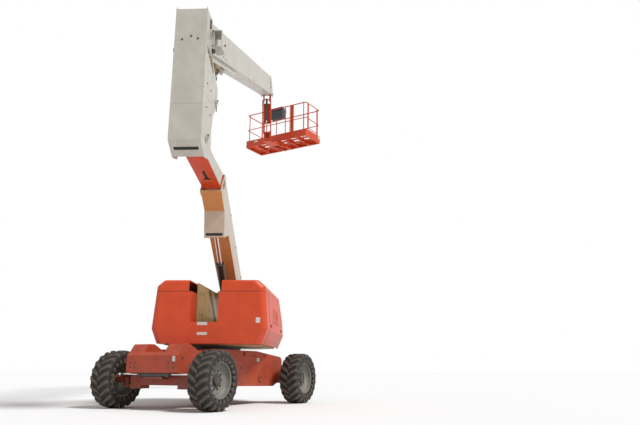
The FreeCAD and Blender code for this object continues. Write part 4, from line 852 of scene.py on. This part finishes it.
@dataclass
class Wheel:
    """A tyre with its lugs, and the rim with its nuts and its hub's cap."""

    name: str
    end: int
    side: Side
    palette: Palette
    lugs: int = 21
    outer: float = 0.4995
    root: float = 0.014

    # distance from the tyre's middle, and radius
    WALL = ((0.134, 0.2956), (0.146, 0.3130), (0.160, 0.3255), (0.178, 0.336), (0.190, 0.350),
            (0.1965, 0.372), (0.2000, 0.398), (0.1985, 0.420), (0.193, 0.440), (0.182, 0.457),
            (0.165, 0.467), (0.140, 0.4700), (0.070, 0.4710), (0.0, 0.4715))
    # lug stations: from the middle, radius, ahead, half width
    LUG = ((0.004, 0.4990, -0.048, 0.024), (0.030, 0.4993, -0.030, 0.026), (0.060, 0.4993, -0.010, 0.027),
           (0.090, 0.4990, 0.010, 0.028), (0.118, 0.4980, 0.028, 0.029), (0.142, 0.4955, 0.042, 0.031),
           (0.162, 0.4895, 0.051, 0.032), (0.178, 0.4790, 0.057, 0.033), (0.190, 0.4620, 0.061, 0.032),
           (0.1965, 0.4400, 0.064, 0.028))
    # along the axle from the tyre's middle, and radius, from the hub's back to its cap
    RIM = ((0.010, 0.060), (0.010, 0.090), (0.016, 0.094), (0.040, 0.096), (0.046, 0.110), (0.046, 0.190),
           (0.050, 0.240), (0.040, 0.266), (0.010, 0.279), (-0.140, 0.279), (-0.156, 0.284), (-0.160, 0.292),
           (-0.160, 0.302), (-0.156, 0.3075), (-0.150, 0.3070), (-0.1475, 0.300), (-0.145, 0.2950),
           (0.145, 0.2950), (0.1475, 0.300), (0.150, 0.3070), (0.156, 0.3075), (0.160, 0.302), (0.160, 0.292),
           (0.156, 0.284), (0.142, 0.279), (0.100, 0.276), (0.084, 0.268), (0.070, 0.252), (0.064, 0.236),
           (0.062, 0.205), (0.055, 0.190), (0.054, 0.112), (0.060, 0.100), (0.086, 0.096), (0.096, 0.091),
           (0.1015, 0.080), (0.1015, 0.062), (0.095, 0.058), (0.095, 0.030))
    # the hub's cap, in the same measures
    CAP = ((0.0545, 0.120), (0.0615, 0.1020), (0.0872, 0.0978), (0.0976, 0.0922), (0.1028, 0.0810),
           (0.1028, 0.0470), (0.1000, 0.0440))

    def __post_init__(self) -> None:
        """Places the wheel's frame; Y points outboard and Z up."""
        self.frame = GROUND.move(AXLE_REACH * self.end, HALF_TRACK * self.side, AXLE_LEVEL)
        self.frame = self.frame.turn("Z", 0 if self.side == Side.LEFT else 180)
        self.body = "wheel_" + self.name

    def build(self) -> None:
        """Makes the tyre, its lugs, the rim, the nuts and the hub's cap."""
        self._tyre()
        self._lugs()
        self._rim()
        self._nuts()
        self._cap()

    def _tyre(self) -> None:
        """The carcass: the wall's profile, made smooth, and its mirror image turned about the axle."""
        half = smooth_route([(y, r, 0.0) for y, r in self.WALL], 46)[:, :2]
        profile = np.concatenate([half * (-1, 1), half[::-1][1:]])
        tyre = mesh_piece("tyre_carcass_" + self.name, *lathe(profile, self.frame, 144), self.body,
                          self.palette["tyre wall"], "tyre")
        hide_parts("tyre_" + self.name)

    def _lugs(self) -> None:
        """The lugs: bars whose section moves out from the middle, swings ahead and falls over the shoulder.

        At each station the bar's corners stand at arc lengths ahead of the lug's own angle, half of it
        out, and at the station's radius or at the lug's root under the carcass.
        """
        batch = Batch()
        station = np.asarray(self.LUG)
        wall = np.asarray(self.WALL)
        root = np.interp(station[:, 0], wall[::-1, 0][:12], wall[::-1, 1][:12]) - self.root
        pitch = 2 * math.pi / self.lugs
        for out in (-1, 1):
            for number in range(self.lugs):
                phase = pitch * (number + (0.5 if out > 0 else 0.0))
                batch.add(*self._lug(station, root, out, phase))
        batch.build("tyre_lugs_" + self.name, self.body, self.palette["lug rubber"], "tyre")

    def _lug(self, station: Array, root: Array, out: int, phase: float) -> Shape:
        """Works out one lug.

        Args:
            station: the stations, one in a row.
            root: radius of the lug's root at each station.
            out: 1 for the outboard half of the tread, -1 for the other.
            phase: the lug's own angle.

        Returns:
            The points and the faces.
        """
        level, top, ahead, half = station.T
        # corner offsets: along the arc as a share of half plus a fixed part, and whether on the root
        share = np.array([-1.0, 1.0, 1.0, 1.0, -1.0, -1.0])
        extra = np.array([0.004, -0.004, 0.0, 0.007, -0.007, 0.0])
        fall = np.array([0.0, 0.0, 0.005, 1.0, 1.0, 0.005])
        arc = ahead[:, None] + share * half[:, None] + extra
        radius = np.where(fall == 1.0, root[:, None], top[:, None] - fall)
        turn = self.side * arc / self.outer + phase
        rings = np.stack([radius * np.sin(turn), np.broadcast_to(level[:, None] * out, turn.shape),
                          radius * np.cos(turn)], -1)
        if out * self.side < 0:
            rings = rings[:, ::-1]
        return capped_rings(self.frame.carry(rings))

    def _rim(self) -> None:
        """The rim: barrel, flanges, disc and hub in one turned shape."""
        shape = turned(self.RIM, facing(self.frame, "+y"), 96)
        rim = mesh_piece("rim_dressed_" + self.name, *shape, self.body, self.palette["rim paint"], "rim")
        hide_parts("rim_" + self.name)

    def _nuts(self) -> None:
        """Ten wheel nuts on the disc and eight bolts on the hub."""
        batch = Batch()
        axle = facing(self.frame, "+y")
        for count, reach, level, size in ((10, 0.150, 0.0545, 0.014), (8, 0.068, 0.1025, 0.008)):
            add_bolt_ring(batch, axle.move(z=level), count, reach, size, size * 1.25)
        batch.build("wheel_nuts_" + self.name, self.body, self.palette["dark fastener"], "rim")

    def _cap(self) -> None:
        """The dark cap over the hub."""
        shape = turned(self.CAP, facing(self.frame, "+y"), 48)
        mesh_piece("hub_cap_" + self.name, *shape, self.body, self.palette["black steel"], "rim")


@dataclass
class Chassis:
    """Fittings on the chassis and its axles."""

    palette: Palette
    nose: float = 1.870
    half_nose: float = 0.545
    half_box: float = 0.600

    def build(self) -> None:
        """Makes the plates, bolts, fittings and kingpin caps."""
        self._plates()
        self._bolts()
        self._fittings()
        self._kingpins()

    def _plates(self) -> None:
        """Blank pale plates on the hump and on the side."""
        batch = Batch()
        add_pad(batch, facing(GROUND.move(-self.nose, -0.470, 0.845), "-x"), 0.045, 0.030, PLATE, 0.006)
        add_pad(batch, facing(GROUND.move(0.62, -self.half_box, 0.86), "-y"), 0.050, 0.035, PLATE, 0.006)
        batch.build("chassis_plates", "chassis", self.palette["blank plate"], "orange_steel")

    def _bolts(self) -> None:
        """Bolts along the nose, on the humps and on the drive axle's flanges."""
        batch = Batch()
        nose = [(-self.nose, y, z) for y in (-0.46, -0.36, 0.36, 0.46) for z in (0.70, 0.78)]
        add_bolts(batch, GROUND, nose, "-x", 0.011, 0.012)
        for side, way in BOTH_SIDES:
            hump = on_side(((-1.74, 0.86), (-1.30, 0.90), (-1.18, 0.90)), self.half_nose * side)
            add_bolts(batch, GROUND, hump, way, 0.013, 0.014)
            box = on_side(((-0.45, 0.93), (0.0, 0.70), (0.45, 0.93), (0.9, 0.93)), self.half_box * side)
            add_bolts(batch, GROUND, box, way, 0.012, 0.013)
            flange = facing(GROUND.move(AXLE_REACH, 0.75 * side, AXLE_LEVEL), way)
            add_bolt_ring(batch, flange, 12, 0.101, 0.009, 0.011)
        batch.build("chassis_bolts", "chassis", self.palette["dark fastener"], "running_gear")

    def _fittings(self) -> None:
        """Hydraulic elbows and a valve block on the steering cylinder's saddle."""
        saddle = GROUND.move(x=-1.700, z=0.604)
        block, fittings = Batch(), Batch()
        add_box(block, saddle.move(y=0.10), (-0.035, 0.035), (-0.075, 0.075), (-0.001, 0.055), 0.006)
        for y in (0.045, 0.085, 0.125, 0.160):
            fittings.add(*turned([(-0.002, 0.013), (0.012, 0.013), (0.012, 0.009), (0.030, 0.009),
                                  (0.030, 0.012), (0.040, 0.012)],
                                 facing(saddle.move(-0.035, y, 0.030), "-x"), 12))
        for y in (-0.10, -0.20):
            fittings.add(*turned([(-0.002, 0.016), (0.012, 0.016), (0.012, 0.011), (0.034, 0.011),
                                  (0.034, 0.015), (0.050, 0.015)], saddle.move(y=y), 12))
        block.build("steer_valve_block", "chassis", self.palette["black steel"], "black_steel")
        fittings.build("steer_fittings", "chassis", self.palette["pin steel"], "pins")

    def _kingpins(self) -> None:
        """Caps with bolts on both ends of each kingpin."""
        caps, bolts = Batch(), Batch()
        for side in Side:
            for way, level in (("+z", 0.6225), ("-z", 0.3775)):
                end = facing(GROUND.move(-AXLE_REACH, 0.80 * side, level), way)
                caps.add(*turned([(-0.001, 0.052), (0.008, 0.052), (0.012, 0.047)], end, 28))
                add_bolt_ring(bolts, end.turn("Z", 45).move(z=0.0115), 4, 0.034, 0.007, 0.008)
        caps.build("kingpin_caps", "chassis", self.palette["axle paint"], "running_gear")
        bolts.build("kingpin_bolts", "chassis", self.palette["dark fastener"], "running_gear")


@dataclass
class Covers:
    """Joint lines, plates, louvres and latches on the counterweight and the hoods."""

    palette: Palette
    rear: float = -1.161
    joint: float = -0.741
    seam: float = 2.060
    crease: float = 1.386
    bottom: float = 1.120
    top: float = 2.270
    tuck: float = 0.110
    lean: float = 0.070
    corner: float = 0.110
    slot: float = 0.251
    faces: tuple[float, float] = (0.975, 1.160)

    def build(self) -> None:
        """Makes the joint lines, the plates and what is on the hoods."""
        self._joints()
        self._plates()
        for side, face in zip(Side, self.faces):
            self._hood(side, face)

    def _reach(self, face: float, level: float) -> float:
        """Works out the half width of the covers.

        Below the crease it shrinks evenly by the tuck, above it by the lean.

        Args:
            face: half width at the crease.
            level: the level.

        Returns:
            The half width at the level.
        """
        if level < self.crease:
            return face - self.tuck * (self.crease - level) / (self.crease - self.bottom)
        return face - self.lean * (level - self.crease) / (self.top - self.crease)

    def _joints(self) -> None:
        """Thin rubber lines along the joint between the casting and each hood."""
        batch = Batch()
        turn = np.linspace(math.pi / 2, 0, 7)
        for side, face in zip(Side, self.faces):
            wide = self._reach(face, self.seam)
            bend = np.stack([self.rear + self.corner * (1 - np.sin(turn)),
                             wide - self.corner * (1 - np.cos(turn))], -1)
            across = [(self.rear, self.slot + 0.003), (self.rear, wide - self.corner - 0.05), *bend,
                      (self.joint, wide)]
            back = [(x, y * side, self.seam) for x, y in across]
            down = [(self.joint, self._reach(face, z) * side, z)
                    for z in (self.seam, self.crease, self.bottom + 0.004)]
            for route in (back, down):
                batch.add(*sweep(DECK.carry(np.asarray(route)), 0.0035, 8))
        batch.build("cover_joints", "turntable", self.palette["joint rubber"], "casting")

    def _plates(self) -> None:
        """Blank pale plates on the casting's rear face."""
        batch = Batch()
        # place across and up, half height, half width
        for y, z, high, wide in ((0.028, 1.475, 0.0275, 0.0925), (0.022, 1.297, 0.0250, 0.0925),
                                 (-0.987, 1.538, 0.0475, 0.0400)):
            add_pad(batch, facing(DECK.move(self.rear, y, z), "-x"), high, wide, PLATE, 0.008)
        batch.build("cover_plates", "turntable", self.palette["blank plate"], "casting")

    def _panel(self, side: Side, face: float, x: float, level: float) -> Frame:
        """Lays a frame on a hood's side: X along it, Y up it and Z out of it.

        Args:
            side: which hood.
            face: half width of the covers at the crease.
            x: place along the machine.
            level: height over the ground.

        Returns:
            The frame.
        """
        tilt = 90 - math.degrees(math.atan2(self.lean, self.top - self.crease))
        spot = DECK.move(x=x, y=self._reach(face, level) * side, z=level)
        if side == Side.RIGHT:
            return spot.turn("X", tilt)
        return spot.turn("X", -tilt).turn("Z", 180)

    def _hood(self, side: Side, face: float) -> None:
        """Makes the louvres and the two latches of one hood.

        Args:
            side: which hood.
            face: half width of the covers at the crease.
        """
        slats, latches = Batch(), Batch()
        for x in (0.05, 0.55) if side == Side.RIGHT else (0.30,):
            for row in range(9):
                spot = self._panel(side, face, x, 1.55).move(y=0.034 * row)
                outline = np.array([(0.0, -0.0008), (0.026, -0.0008), (0.004, 0.010)])
                slats.add(*prism(outline, -0.17, 0.17, spot, "yzx"))
        for x in (-0.55, 1.15):
            spot = self._panel(side, face, x, 1.47)
            add_box(latches, spot, (-0.055, 0.055), (-0.030, 0.030), (-0.0008, 0.006), 0.020)
            add_box(latches, spot, (-0.042, 0.020), (-0.016, 0.016), (0.005, 0.012), 0.010)
            latches.add(*turned([(0.005, 0.010), (0.014, 0.010), (0.016, 0.007)], spot.move(x=0.036), 16))
        label = side.name.lower()
        slats.build("louvres_" + label, "hood_" + label, self.palette["cover orange"], "hood")
        latches.build("latches_" + label, "hood_" + label, self.palette["black steel"], "hood")


@dataclass
class Deck:
    """Pin caps and bolts of the turntable's mast plates, and the bolts of the swing ring."""

    palette: Palette
    outer: float = 0.296
    inner: float = 0.250
    ring_bolts: int = 36

    def build(self) -> None:
        """Makes the pin caps, the ring's bolts and the bolts of the mast plates."""
        caps, bolts, ring = Batch(), Batch(), Batch()
        for side, way in BOTH_SIDES:
            add_pin_cap(caps, bolts, facing(DECK.move(*TOWER_FOOT).move(y=self.outer * side), way), 0.045)
            mast = on_side(((-0.52, 2.10), (-0.52, 1.70), (-0.25, 2.10), (-0.25, 1.70), (0.35, 1.85)),
                           self.inner * side)
            add_bolts(bolts, DECK, mast, "-y" if side > 0 else "+y", 0.012, 0.013)
        for number in range(self.ring_bolts):
            spot = GROUND.turn("Z", 360 / self.ring_bolts * number).move(x=0.48, z=1.068)
            add_bolt(ring, facing(spot, "+x"), 0.010, 0.010)
        caps.build("deck_pin_caps", "turntable", self.palette["pin steel"], "pins")
        bolts.build("deck_bolts", "turntable", self.palette["dark fastener"], "pins")
        ring.build("ring_bolts", "chassis", self.palette["dark fastener"], "running_gear")


@dataclass
class TowerBoom:
    """Side plates of the gooseneck, painted shade for its slot and the bracket's, and the collar's bolts."""

    palette: Palette
    half: float = 0.200
    fly_half: float = 0.175

    def build(self) -> None:
        """Makes the pale side plates, the dark sheets of painted slot shade and the bolts."""
        self._neck()
        self._slot_shades()
        self._bolts()

    def _neck(self) -> None:
        """A pale plate on each side of the gooseneck."""
        batch = Batch()
        outline = rounded([(3.275, -0.185), (4.47, -0.84), (4.70, -0.99), (4.86, -0.94), (4.88, -0.84),
                           (4.70, -0.70), (3.96, -0.275), (3.275, 0.150)],
                          (0.004, 0.02, 0.06, 0.06, 0.06, 0.06, 0.04, 0.004))
        for side in Side:
            low, high = sorted(((self.fly_half - SINK) * side, (self.fly_half + 0.004) * side))
            batch.add(*prism(outline, low, high, TOWER, "xzy"))
        batch.build("neck_plates", "tower_fly", self.palette["boom cream"], "orange_steel")

    def _slot_shades(self) -> None:
        """Dark sheets of painted shade for the slots under the gooseneck and at the mouth of the wedge
        bracket.
        """
        batch = Batch()
        # painted shade: dark sheets where the slots' shaded insides show
        under = TOWER.move(x=3.741, z=-0.4624).turn("Y", 28.75)
        add_box(batch, under, (-0.230, 0.100), (-0.026, 0.026), UNDER_SLOT_SHADE, 0.020)
        add_box(batch, under, (-0.265, -0.190), (-0.060, 0.060), UNDER_SLOT_SHADE, 0.030)
        batch.build("neck_slot", "tower_fly", self.palette["recess"], "orange_steel")
        # painted shade of the slot at the bracket's mouth
        foot = Batch()
        add_pad(foot, TOWER.move(x=2.352, z=-0.5683).turn("Y", 136.62), 0.026, 0.165, 0.0022, 0.006)
        foot.build("bracket_slot", "tower", self.palette["recess"], "orange_steel")

    def _bolts(self) -> None:
        """Bolts of the wear pads round the collar, and bolts along the boom."""
        batch = Batch()
        collar = [(x, z) for z in (-0.08, -0.03, 0.03, 0.08) for x in (3.105, 3.165)]
        boom = ((0.42, 0.17), (0.42, -0.17), (1.30, 0.20), (2.20, 0.20))
        for side, way in BOTH_SIDES:
            for places, y in ((collar, self.half + 0.012), (boom, self.half)):
                add_bolts(batch, TOWER, on_side(places, y * side), way, 0.011, 0.012)
        batch.build("tower_bolts", "tower", self.palette["dark fastener"], "pins")


@dataclass
class Upright:
    """Seams, brackets, tabs, pin caps and painted slot shade of the upright."""

    palette: Palette
    half: float = 0.268
    back: float = -0.353
    boss: float = 0.020

    def build(self) -> None:
        """Makes the upright's small pieces."""
        self._seams()
        self._dark()
        self._caps()
        self._tabs()

    def _seams(self) -> None:
        """Weld lines across the back plate and the side plates."""
        batch = Batch()
        lines = [[(self.back, 0.24, 0.480), (self.back, 0.0, 0.476), (self.back, -0.24, 0.470)]]
        for side in Side:
            y = self.half * side
            lines.append(on_side(((self.back + 0.02, 0.716), (0.10, 0.705), (0.42, 0.690)), y))
            lines.append([(self.back + 0.006, y, z) for z in (-0.12, 1.0, 2.18)])
        for line in lines:
            batch.add(*sweep(UPRIGHT.carry(smooth_route(line, 12)), 0.0028, 8))
        batch.build("upright_seams", "upright", self.palette["boom cream"], "boom_cream")

    def _dark(self) -> None:
        """Dark bolts, blocks, the guard's stud and a dark sheet of painted shade for the slot in the sloping
        bottom plate.
        """
        bolts, blocks, slot = Batch(), Batch(), Batch()
        back = [(self.back, y, z) for y, z in ((-0.012, 1.695), (-0.128, 1.646), (0.139, 1.635))]
        add_bolts(bolts, UPRIGHT, back, "-x", 0.013, 0.010)
        for side, way in BOTH_SIDES:
            y = self.half * side
            places = on_side(((-0.099, 0.947), (0.176, 0.940), (-0.094, 0.517), (0.194, 0.498)), y)
            add_bolts(bolts, UPRIGHT, places, way, 0.012, 0.010)
            add_pad(blocks, facing(UPRIGHT.move(0.640, y, 0.82), way), 0.020, 0.075, 0.006, 0.012)
        top = facing(UPRIGHT.move(-0.10, -self.half, 2.06), "-y")
        add_box(blocks, top, (-0.030, 0.050), (-0.085, 0.085), (-SINK, 0.014), 0.010)
        for y in (-0.06, 0.06):
            add_bolt(bolts, top.move(0.01, y, 0.014), 0.010, 0.010)
        low = facing(UPRIGHT.move(0.10, -self.half, 1.655), "-y")
        add_box(blocks, low, (-0.035, 0.045), (-0.030, 0.030), (-SINK, 0.050), 0.008)
        add_bolt(bolts, facing(UPRIGHT.move(0.320, -0.440, 1.880), "-y"), 0.016, 0.022)
        left = facing(UPRIGHT.move(self.back + 0.04, self.half, 1.452), "+y")
        add_pad(blocks, left, 0.020, 0.035, 0.016, 0.006)
        # painted shade: a dark sheet for the slot's shaded inside
        slope = UPRIGHT.move(x=-0.206, z=-0.2493).turn("Y", math.degrees(math.atan2(0.188, 0.290)))
        add_box(slot, slope, (-0.030, 0.030), (-0.205, 0.205), UNDER_SLOT_SHADE, 0.006)
        bolts.build("upright_bolts", "upright", self.palette["dark fastener"], "pins")
        blocks.build("upright_blocks", "upright", self.palette["black steel"], "black_steel")
        slot.build("upright_slot", "upright", self.palette["recess"], "boom_cream")

    def _caps(self) -> None:
        """Pin caps on the bosses of the three pins."""
        caps, bolts = Batch(), Batch()
        for side, way in BOTH_SIDES:
            for foot, radius in (((0.0, 0.0, 0.0), 0.045), (MAIN_FOOT, 0.045), ((0.577, 0.0, 0.900), 0.030)):
                spot = UPRIGHT.move(*foot).move(y=(self.half + self.boss) * side)
                add_pin_cap(caps, bolts, facing(spot, way), radius)
        caps.build("upright_pin_caps", "upright", self.palette["pin steel"], "pins")
        bolts.build("upright_pin_bolts", "upright", self.palette["dark fastener"], "pins")

    def _tabs(self) -> None:
        """Small lifting tabs at the top corners."""
        batch = Batch()
        outline = rounded([(self.back, 2.190), (-0.290, 2.190), (-0.335, 2.240), (self.back, 2.240)],
                          (0.0, 0.004, 0.006, 0.004))
        for side in Side:
            low, high = sorted((self.half * side, (self.half - 0.012) * side))
            batch.add(*prism(outline, low, high, UPRIGHT, "xzy"))
        batch.build("upright_tabs", "upright", self.palette["boom cream"], "boom_cream")


@dataclass
class MainBoom:
    """Tray cover, plates, bolts and the nose's pin caps of the main boom."""

    palette: Palette
    half: float = 0.189
    high: float = 0.2815
    nose_half: float = 0.1793

    def build(self) -> None:
        """Makes the tray cover, the blank plates, the bolts and the pin caps."""
        self._tray()
        self._sides()
        self._nose()

    def _tray(self) -> None:
        """The tray cover under the boom, with two ribs along it."""
        batch = Batch()
        under = -self.high
        add_box(batch, MAIN, (0.70, 2.90), (-0.136, 0.136), (under - 0.006, under + SINK), 0.03)
        for y in (-0.09, 0.09):
            add_box(batch, MAIN, (0.76, 2.84), (y - 0.012, y + 0.012), (under - 0.010, under - 0.005), 0.010)
        batch.build("main_tray", "main_boom", self.palette["tan panel"], "boom_cream")

    def _sides(self) -> None:
        """A blank plate and bolts on each side, and bolts round the mouth."""
        plate, bolts = Batch(), Batch()
        boom = ((1.25, -0.17), (1.45, -0.19), (1.65, -0.21), (0.45, 0.19), (0.45, -0.19))
        mouth = [(x, z) for x in (9.04, 9.12) for z in (-0.08, 0.0, 0.08)]
        for side, way in BOTH_SIDES:
            add_pad(plate, facing(MAIN.move(5.431, self.half * side, -0.20), way), 0.018, 0.05, 0.002, 0.006)
            for places, y in ((boom, self.half), (mouth, self.half + 0.010)):
                add_bolts(bolts, MAIN, on_side(places, y * side), way, 0.010, 0.010)
        plate.build("main_plates", "main_boom", self.palette["boom orange"], "boom_cream")
        bolts.build("main_bolts", "main_boom", self.palette["dark fastener"], "pins")

    def _nose(self) -> None:
        """Caps of the pin that carries the jib's knuckle."""
        caps, bolts = Batch(), Batch()
        for side, way in BOTH_SIDES:
            add_pin_cap(caps, bolts, facing(MAIN.move(*MAIN_NOSE).move(y=self.nose_half * side), way), 0.026)
        caps.build("nose_pin_caps", "main_fly", self.palette["pin steel"], "pins")
        bolts.build("nose_pin_bolts", "main_fly", self.palette["dark fastener"], "pins")


@dataclass
class Jib:
    """Bolts and the back cover of the jib."""

    palette: Palette
    half: float = 0.125

    def build(self) -> None:
        """Makes the jib's bolts and the cover on its back."""
        bolts, cover = Batch(), Batch()
        for side, way in BOTH_SIDES:
            places = on_side([(x, z) for x in (0.36, 0.89) for z in (-0.025, 0.025)], self.half * side)
            add_bolts(bolts, JIB, places, way, 0.008, 0.008)
        add_box(cover, JIB, (0.34, 0.91), (-0.085, 0.085), (0.0495, 0.0560), 0.02)
        bolts.build("jib_bolts", "jib_arm", self.palette["dark fastener"], "pins")
        cover.build("jib_cover", "jib_arm", self.palette["boom orange"], "orange_steel")


@dataclass
class WorkPlatform:
    """Bent rails, braces, plates and the console's controls."""

    palette: Palette
    near: float = 0.460
    far: float = 1.310
    end: float = 1.190
    foot: float = -0.0287
    head: float = 1.071
    middle: float = 0.531
    bend: float = 0.070
    gate: tuple[float, float] = (0.575, 1.195)

    def build(self) -> None:
        """Makes the rails, the braces, the plate and the console's controls."""
        self._rails()
        self._braces()
        self._console()

    def _loop(self, level: float) -> Array:
        """Lays a rail's route round the platform, from one gate post to the other, with bent corners.

        Args:
            level: the rail's level.

        Returns:
            Points of the route, in the model's frame.
        """
        corners = [(self.near, -self.end), (self.far, -self.end), (self.far, self.end), (self.near, self.end)]
        ring = rounded(corners, self.bend, 8)[::-1]
        # the ring starts after the first corner, so it is turned until it starts beside the gate
        first = int(np.argmin(np.hypot(ring[:, 0] - self.near - self.bend, ring[:, 1] + self.end)))
        start, stop = ([(x, -self.end)] for x in self.gate)
        flat = np.concatenate([start, np.roll(ring, -first, 0), stop])
        return PLATFORM.carry(np.concatenate([flat, np.full((len(flat), 1), level)], 1))

    def _rails(self) -> None:
        """Top and middle rails with bent corners, and their posts."""
        batch = Batch()
        for level, radius in ((self.head, 0.017), (self.middle, 0.013)):
            batch.add(*sweep(self._loop(level), radius, 14))
        inset = self.end - 0.090
        posts = [(x, y) for x in (self.near, self.far) for y in (-inset, -0.57, 0.57, inset)]
        posts += [(self.near, -0.38), (self.near, 0.38), (self.far, 0.0)]
        posts += [(x, -self.end) for x in self.gate]
        foot = self.foot
        for x, y in posts:
            spot = PLATFORM.move(x, y)
            batch.add(*turned([(foot, 0.015), (self.head - 0.002, 0.015)], spot, 14))
            batch.add(*turned([(foot, 0.021), (foot + 0.006, 0.0205), (foot + 0.009, 0.0155)], spot, 14))
        rails = batch.build("platform_rails_bent", "platform", self.palette["boom orange"], "orange_steel")
        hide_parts("platform_rails")

    def _braces(self) -> None:
        """Diagonal braces under the floor, the column beside the console, and two blank plates."""
        batch, plate = Batch(), Batch()
        for side in (-1, 1):
            route = np.array([(x, y * side, -0.131) for x, y in ((0.47, 0.17), (0.85, 0.55), (1.27, 0.97))])
            batch.add(*sweep(PLATFORM.carry(route), 0.0125, 10))
        add_box(batch, PLATFORM, (0.478, 0.545), (-0.665, -0.575), (self.foot + 0.002, self.head + 0.010),
                0.012)
        batch.build("floor_braces", "platform", self.palette["boom orange"], "orange_steel")
        add_pad(plate, facing(PLATFORM.move(1.245, -1.22, 0.055), "-y"), 0.055, 0.045, 0.0025, 0.008)
        add_pad(plate, facing(PLATFORM.move(0.43, 0.80, 0.048), "-x"), 0.030, 0.075, 0.0020, 0.006)
        plate.build("platform_plates", "platform", self.palette["blank plate"], "orange_steel")

    def _console(self) -> None:
        """Sticks, switches and a blank plate on the console's sloping top, and ribs on its back."""
        # the top runs from its high edge beside the rail down to the operator
        back, front = 0.483, 0.713
        high, low = self.head + 0.060, self.head - 0.020
        slope = math.degrees(math.atan2(high - low, front - back))
        face = PLATFORM.move(x=(back + front) / 2, z=(high + low) / 2).turn("Y", slope)
        sticks, switches, plate, ribs = Batch(), Batch(), Batch(), Batch()
        for y in (-0.16, 0.16):
            sticks.add(*turned([(-0.001, 0.026), (0.008, 0.026), (0.014, 0.017), (0.022, 0.010),
                                (0.050, 0.008), (0.056, 0.014), (0.066, 0.018), (0.078, 0.018),
                                (0.086, 0.012)], face.move(y=y), 20))
        for x in (-0.055, 0.055):
            for y in (-0.075, -0.025, 0.025, 0.075):
                switches.add(*turned([(-0.001, 0.011), (0.004, 0.011), (0.005, 0.007), (0.012, 0.006)],
                                     face.move(x, y), 14))
        switches.add(*turned([(-0.001, 0.020), (0.008, 0.020), (0.012, 0.024), (0.020, 0.024),
                              (0.024, 0.018)], face, 20))
        add_box(plate, face, (-0.085, -0.072), (-0.10, 0.10), (-SINK, 0.0012), 0.003)
        for y in (-0.16, -0.08, 0.0, 0.08, 0.16):
            add_pad(ribs, facing(PLATFORM.move(back, y, self.head - 0.15), "-x"), 0.13, 0.006, 0.0055, 0.004)
        sticks.build("console_sticks", "platform", self.palette["black steel"], "console")
        switches.build("console_switches", "platform", self.palette["boom orange"], "console")
        plate.build("console_plate", "platform", self.palette["blank plate"], "console")
        ribs.build("console_ribs", "platform", self.palette["console moulding"], "console")


@dataclass
class Studio:
    """Floor, lights and the camera at the photograph's angle."""

    camera_place: tuple[float, float, float] = (-10.3392, -7.2231, 0.6934)
    camera_turn: tuple[float, float, float] = (104.2169, -0.2589, -64.4388)
    lens: float = 34.675
    half_floor: float = 120.0

    def build(self) -> None:
        """Makes the floor, the world, the lamps and the camera."""
        self._floor()
        self._world()
        self._lamps()
        self._camera()

    def _floor(self) -> None:
        """A pale floor that keeps the machine's shadow."""
        half = self.half_floor
        mesh = bpy.data.meshes.new("floor")
        corners = [(-half, -half, 0), (half, -half, 0), (half, half, 0), (-half, half, 0)]
        mesh.from_pydata(corners, [], [(0, 1, 2, 3)])
        floor = bpy.data.objects.new("floor", mesh)
        bpy.context.scene.collection.objects.link(floor)
        material = bpy.data.materials.new("pale floor")
        material.use_nodes = True
        shader = material.node_tree.nodes["Principled BSDF"]
        shader.inputs["Base Color"].default_value = (0.90, 0.90, 0.90, 1)
        shader.inputs["Roughness"].default_value = 0.9
        shader.inputs["Specular IOR Level"].default_value = 0.1
        mesh.materials.append(material)

    def _world(self) -> None:
        """An even pale sky that cameras and reflections see as white."""
        world = bpy.data.worlds.new("studio")
        world.use_nodes = True
        bpy.context.scene.world = world
        n = Nodes(world.node_tree)
        background = world.node_tree.nodes["Background"]
        path = n.add("ShaderNodeLightPath")
        seen = n.math("MAXIMUM", path.outputs["Is Camera Ray"], path.outputs["Is Transmission Ray"])
        seen = n.math("MAXIMUM", seen, n.math("MULTIPLY", path.outputs["Is Glossy Ray"], 0.9))
        strength = n.math("ADD", n.math("MULTIPLY", seen, 0.62), 0.38)
        background.inputs["Color"].default_value = (1, 1, 1, 1)
        n.link(strength, background.inputs["Strength"])

    def _lamps(self) -> None:
        """A soft sun from the right and a broad fill from behind the steered end."""
        # name, turn in degrees, strength, angle in degrees
        for name, turn, strength, angle in (("sun", (40, 0, -8), 2.8, 14), ("fill", (60, 0, -110), 0.12, 50)):
            lamp = bpy.data.lights.new(name, "SUN")
            lamp.energy = strength
            lamp.angle = math.radians(angle)
            item = bpy.data.objects.new(name, lamp)
            item.rotation_euler = Euler([math.radians(a) for a in turn])
            bpy.context.scene.collection.objects.link(item)

    def _camera(self) -> None:
        """The camera that was recovered from the photograph."""
        data = bpy.data.cameras.new("camera")
        data.lens = self.lens
        data.sensor_width = 36.0
        data.clip_end = 400.0
        item = bpy.data.objects.new("camera", data)
        item.location = self.camera_place
        item.rotation_euler = Euler([math.radians(a) for a in self.camera_turn])
        bpy.context.scene.collection.objects.link(item)
        bpy.context.scene.camera = item


def dress_nodes(frame: dict, palette: Palette) -> None:
    """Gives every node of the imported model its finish.

    Args:
        palette: the finishes.
    """
    for name, node in frame["nodes"].items():
        material = palette[NODE_FINISH[name]]
        if not node.material_slots:
            node.data.materials.append(material)
        for place in node.material_slots:
            place.material = material
        log.info("%s wears %s", name, material.name)


def main() -> None:
    """Builds the pieces in order."""
    logging.basicConfig(level=logging.INFO, format="%(name)s: %(message)s")
    scene = bpy.context.scene
    for item in list(bpy.data.objects):
        bpy.data.objects.remove(item)
    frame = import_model()
    scene.view_settings.view_transform = "Standard"
    Studio().build()
    palette = Palette()
    dress_nodes(frame, palette)
    for end, end_name in ((-1, "front"), (1, "rear")):
        for side in Side:
            Wheel(f"{end_name}_{side.name.lower()}", end, side, palette).build()
    for assembly in (Chassis, Covers, Deck, TowerBoom, Upright, MainBoom, Jib, WorkPlatform):
        assembly(palette).build()


if __name__ == "__main__":
    main()
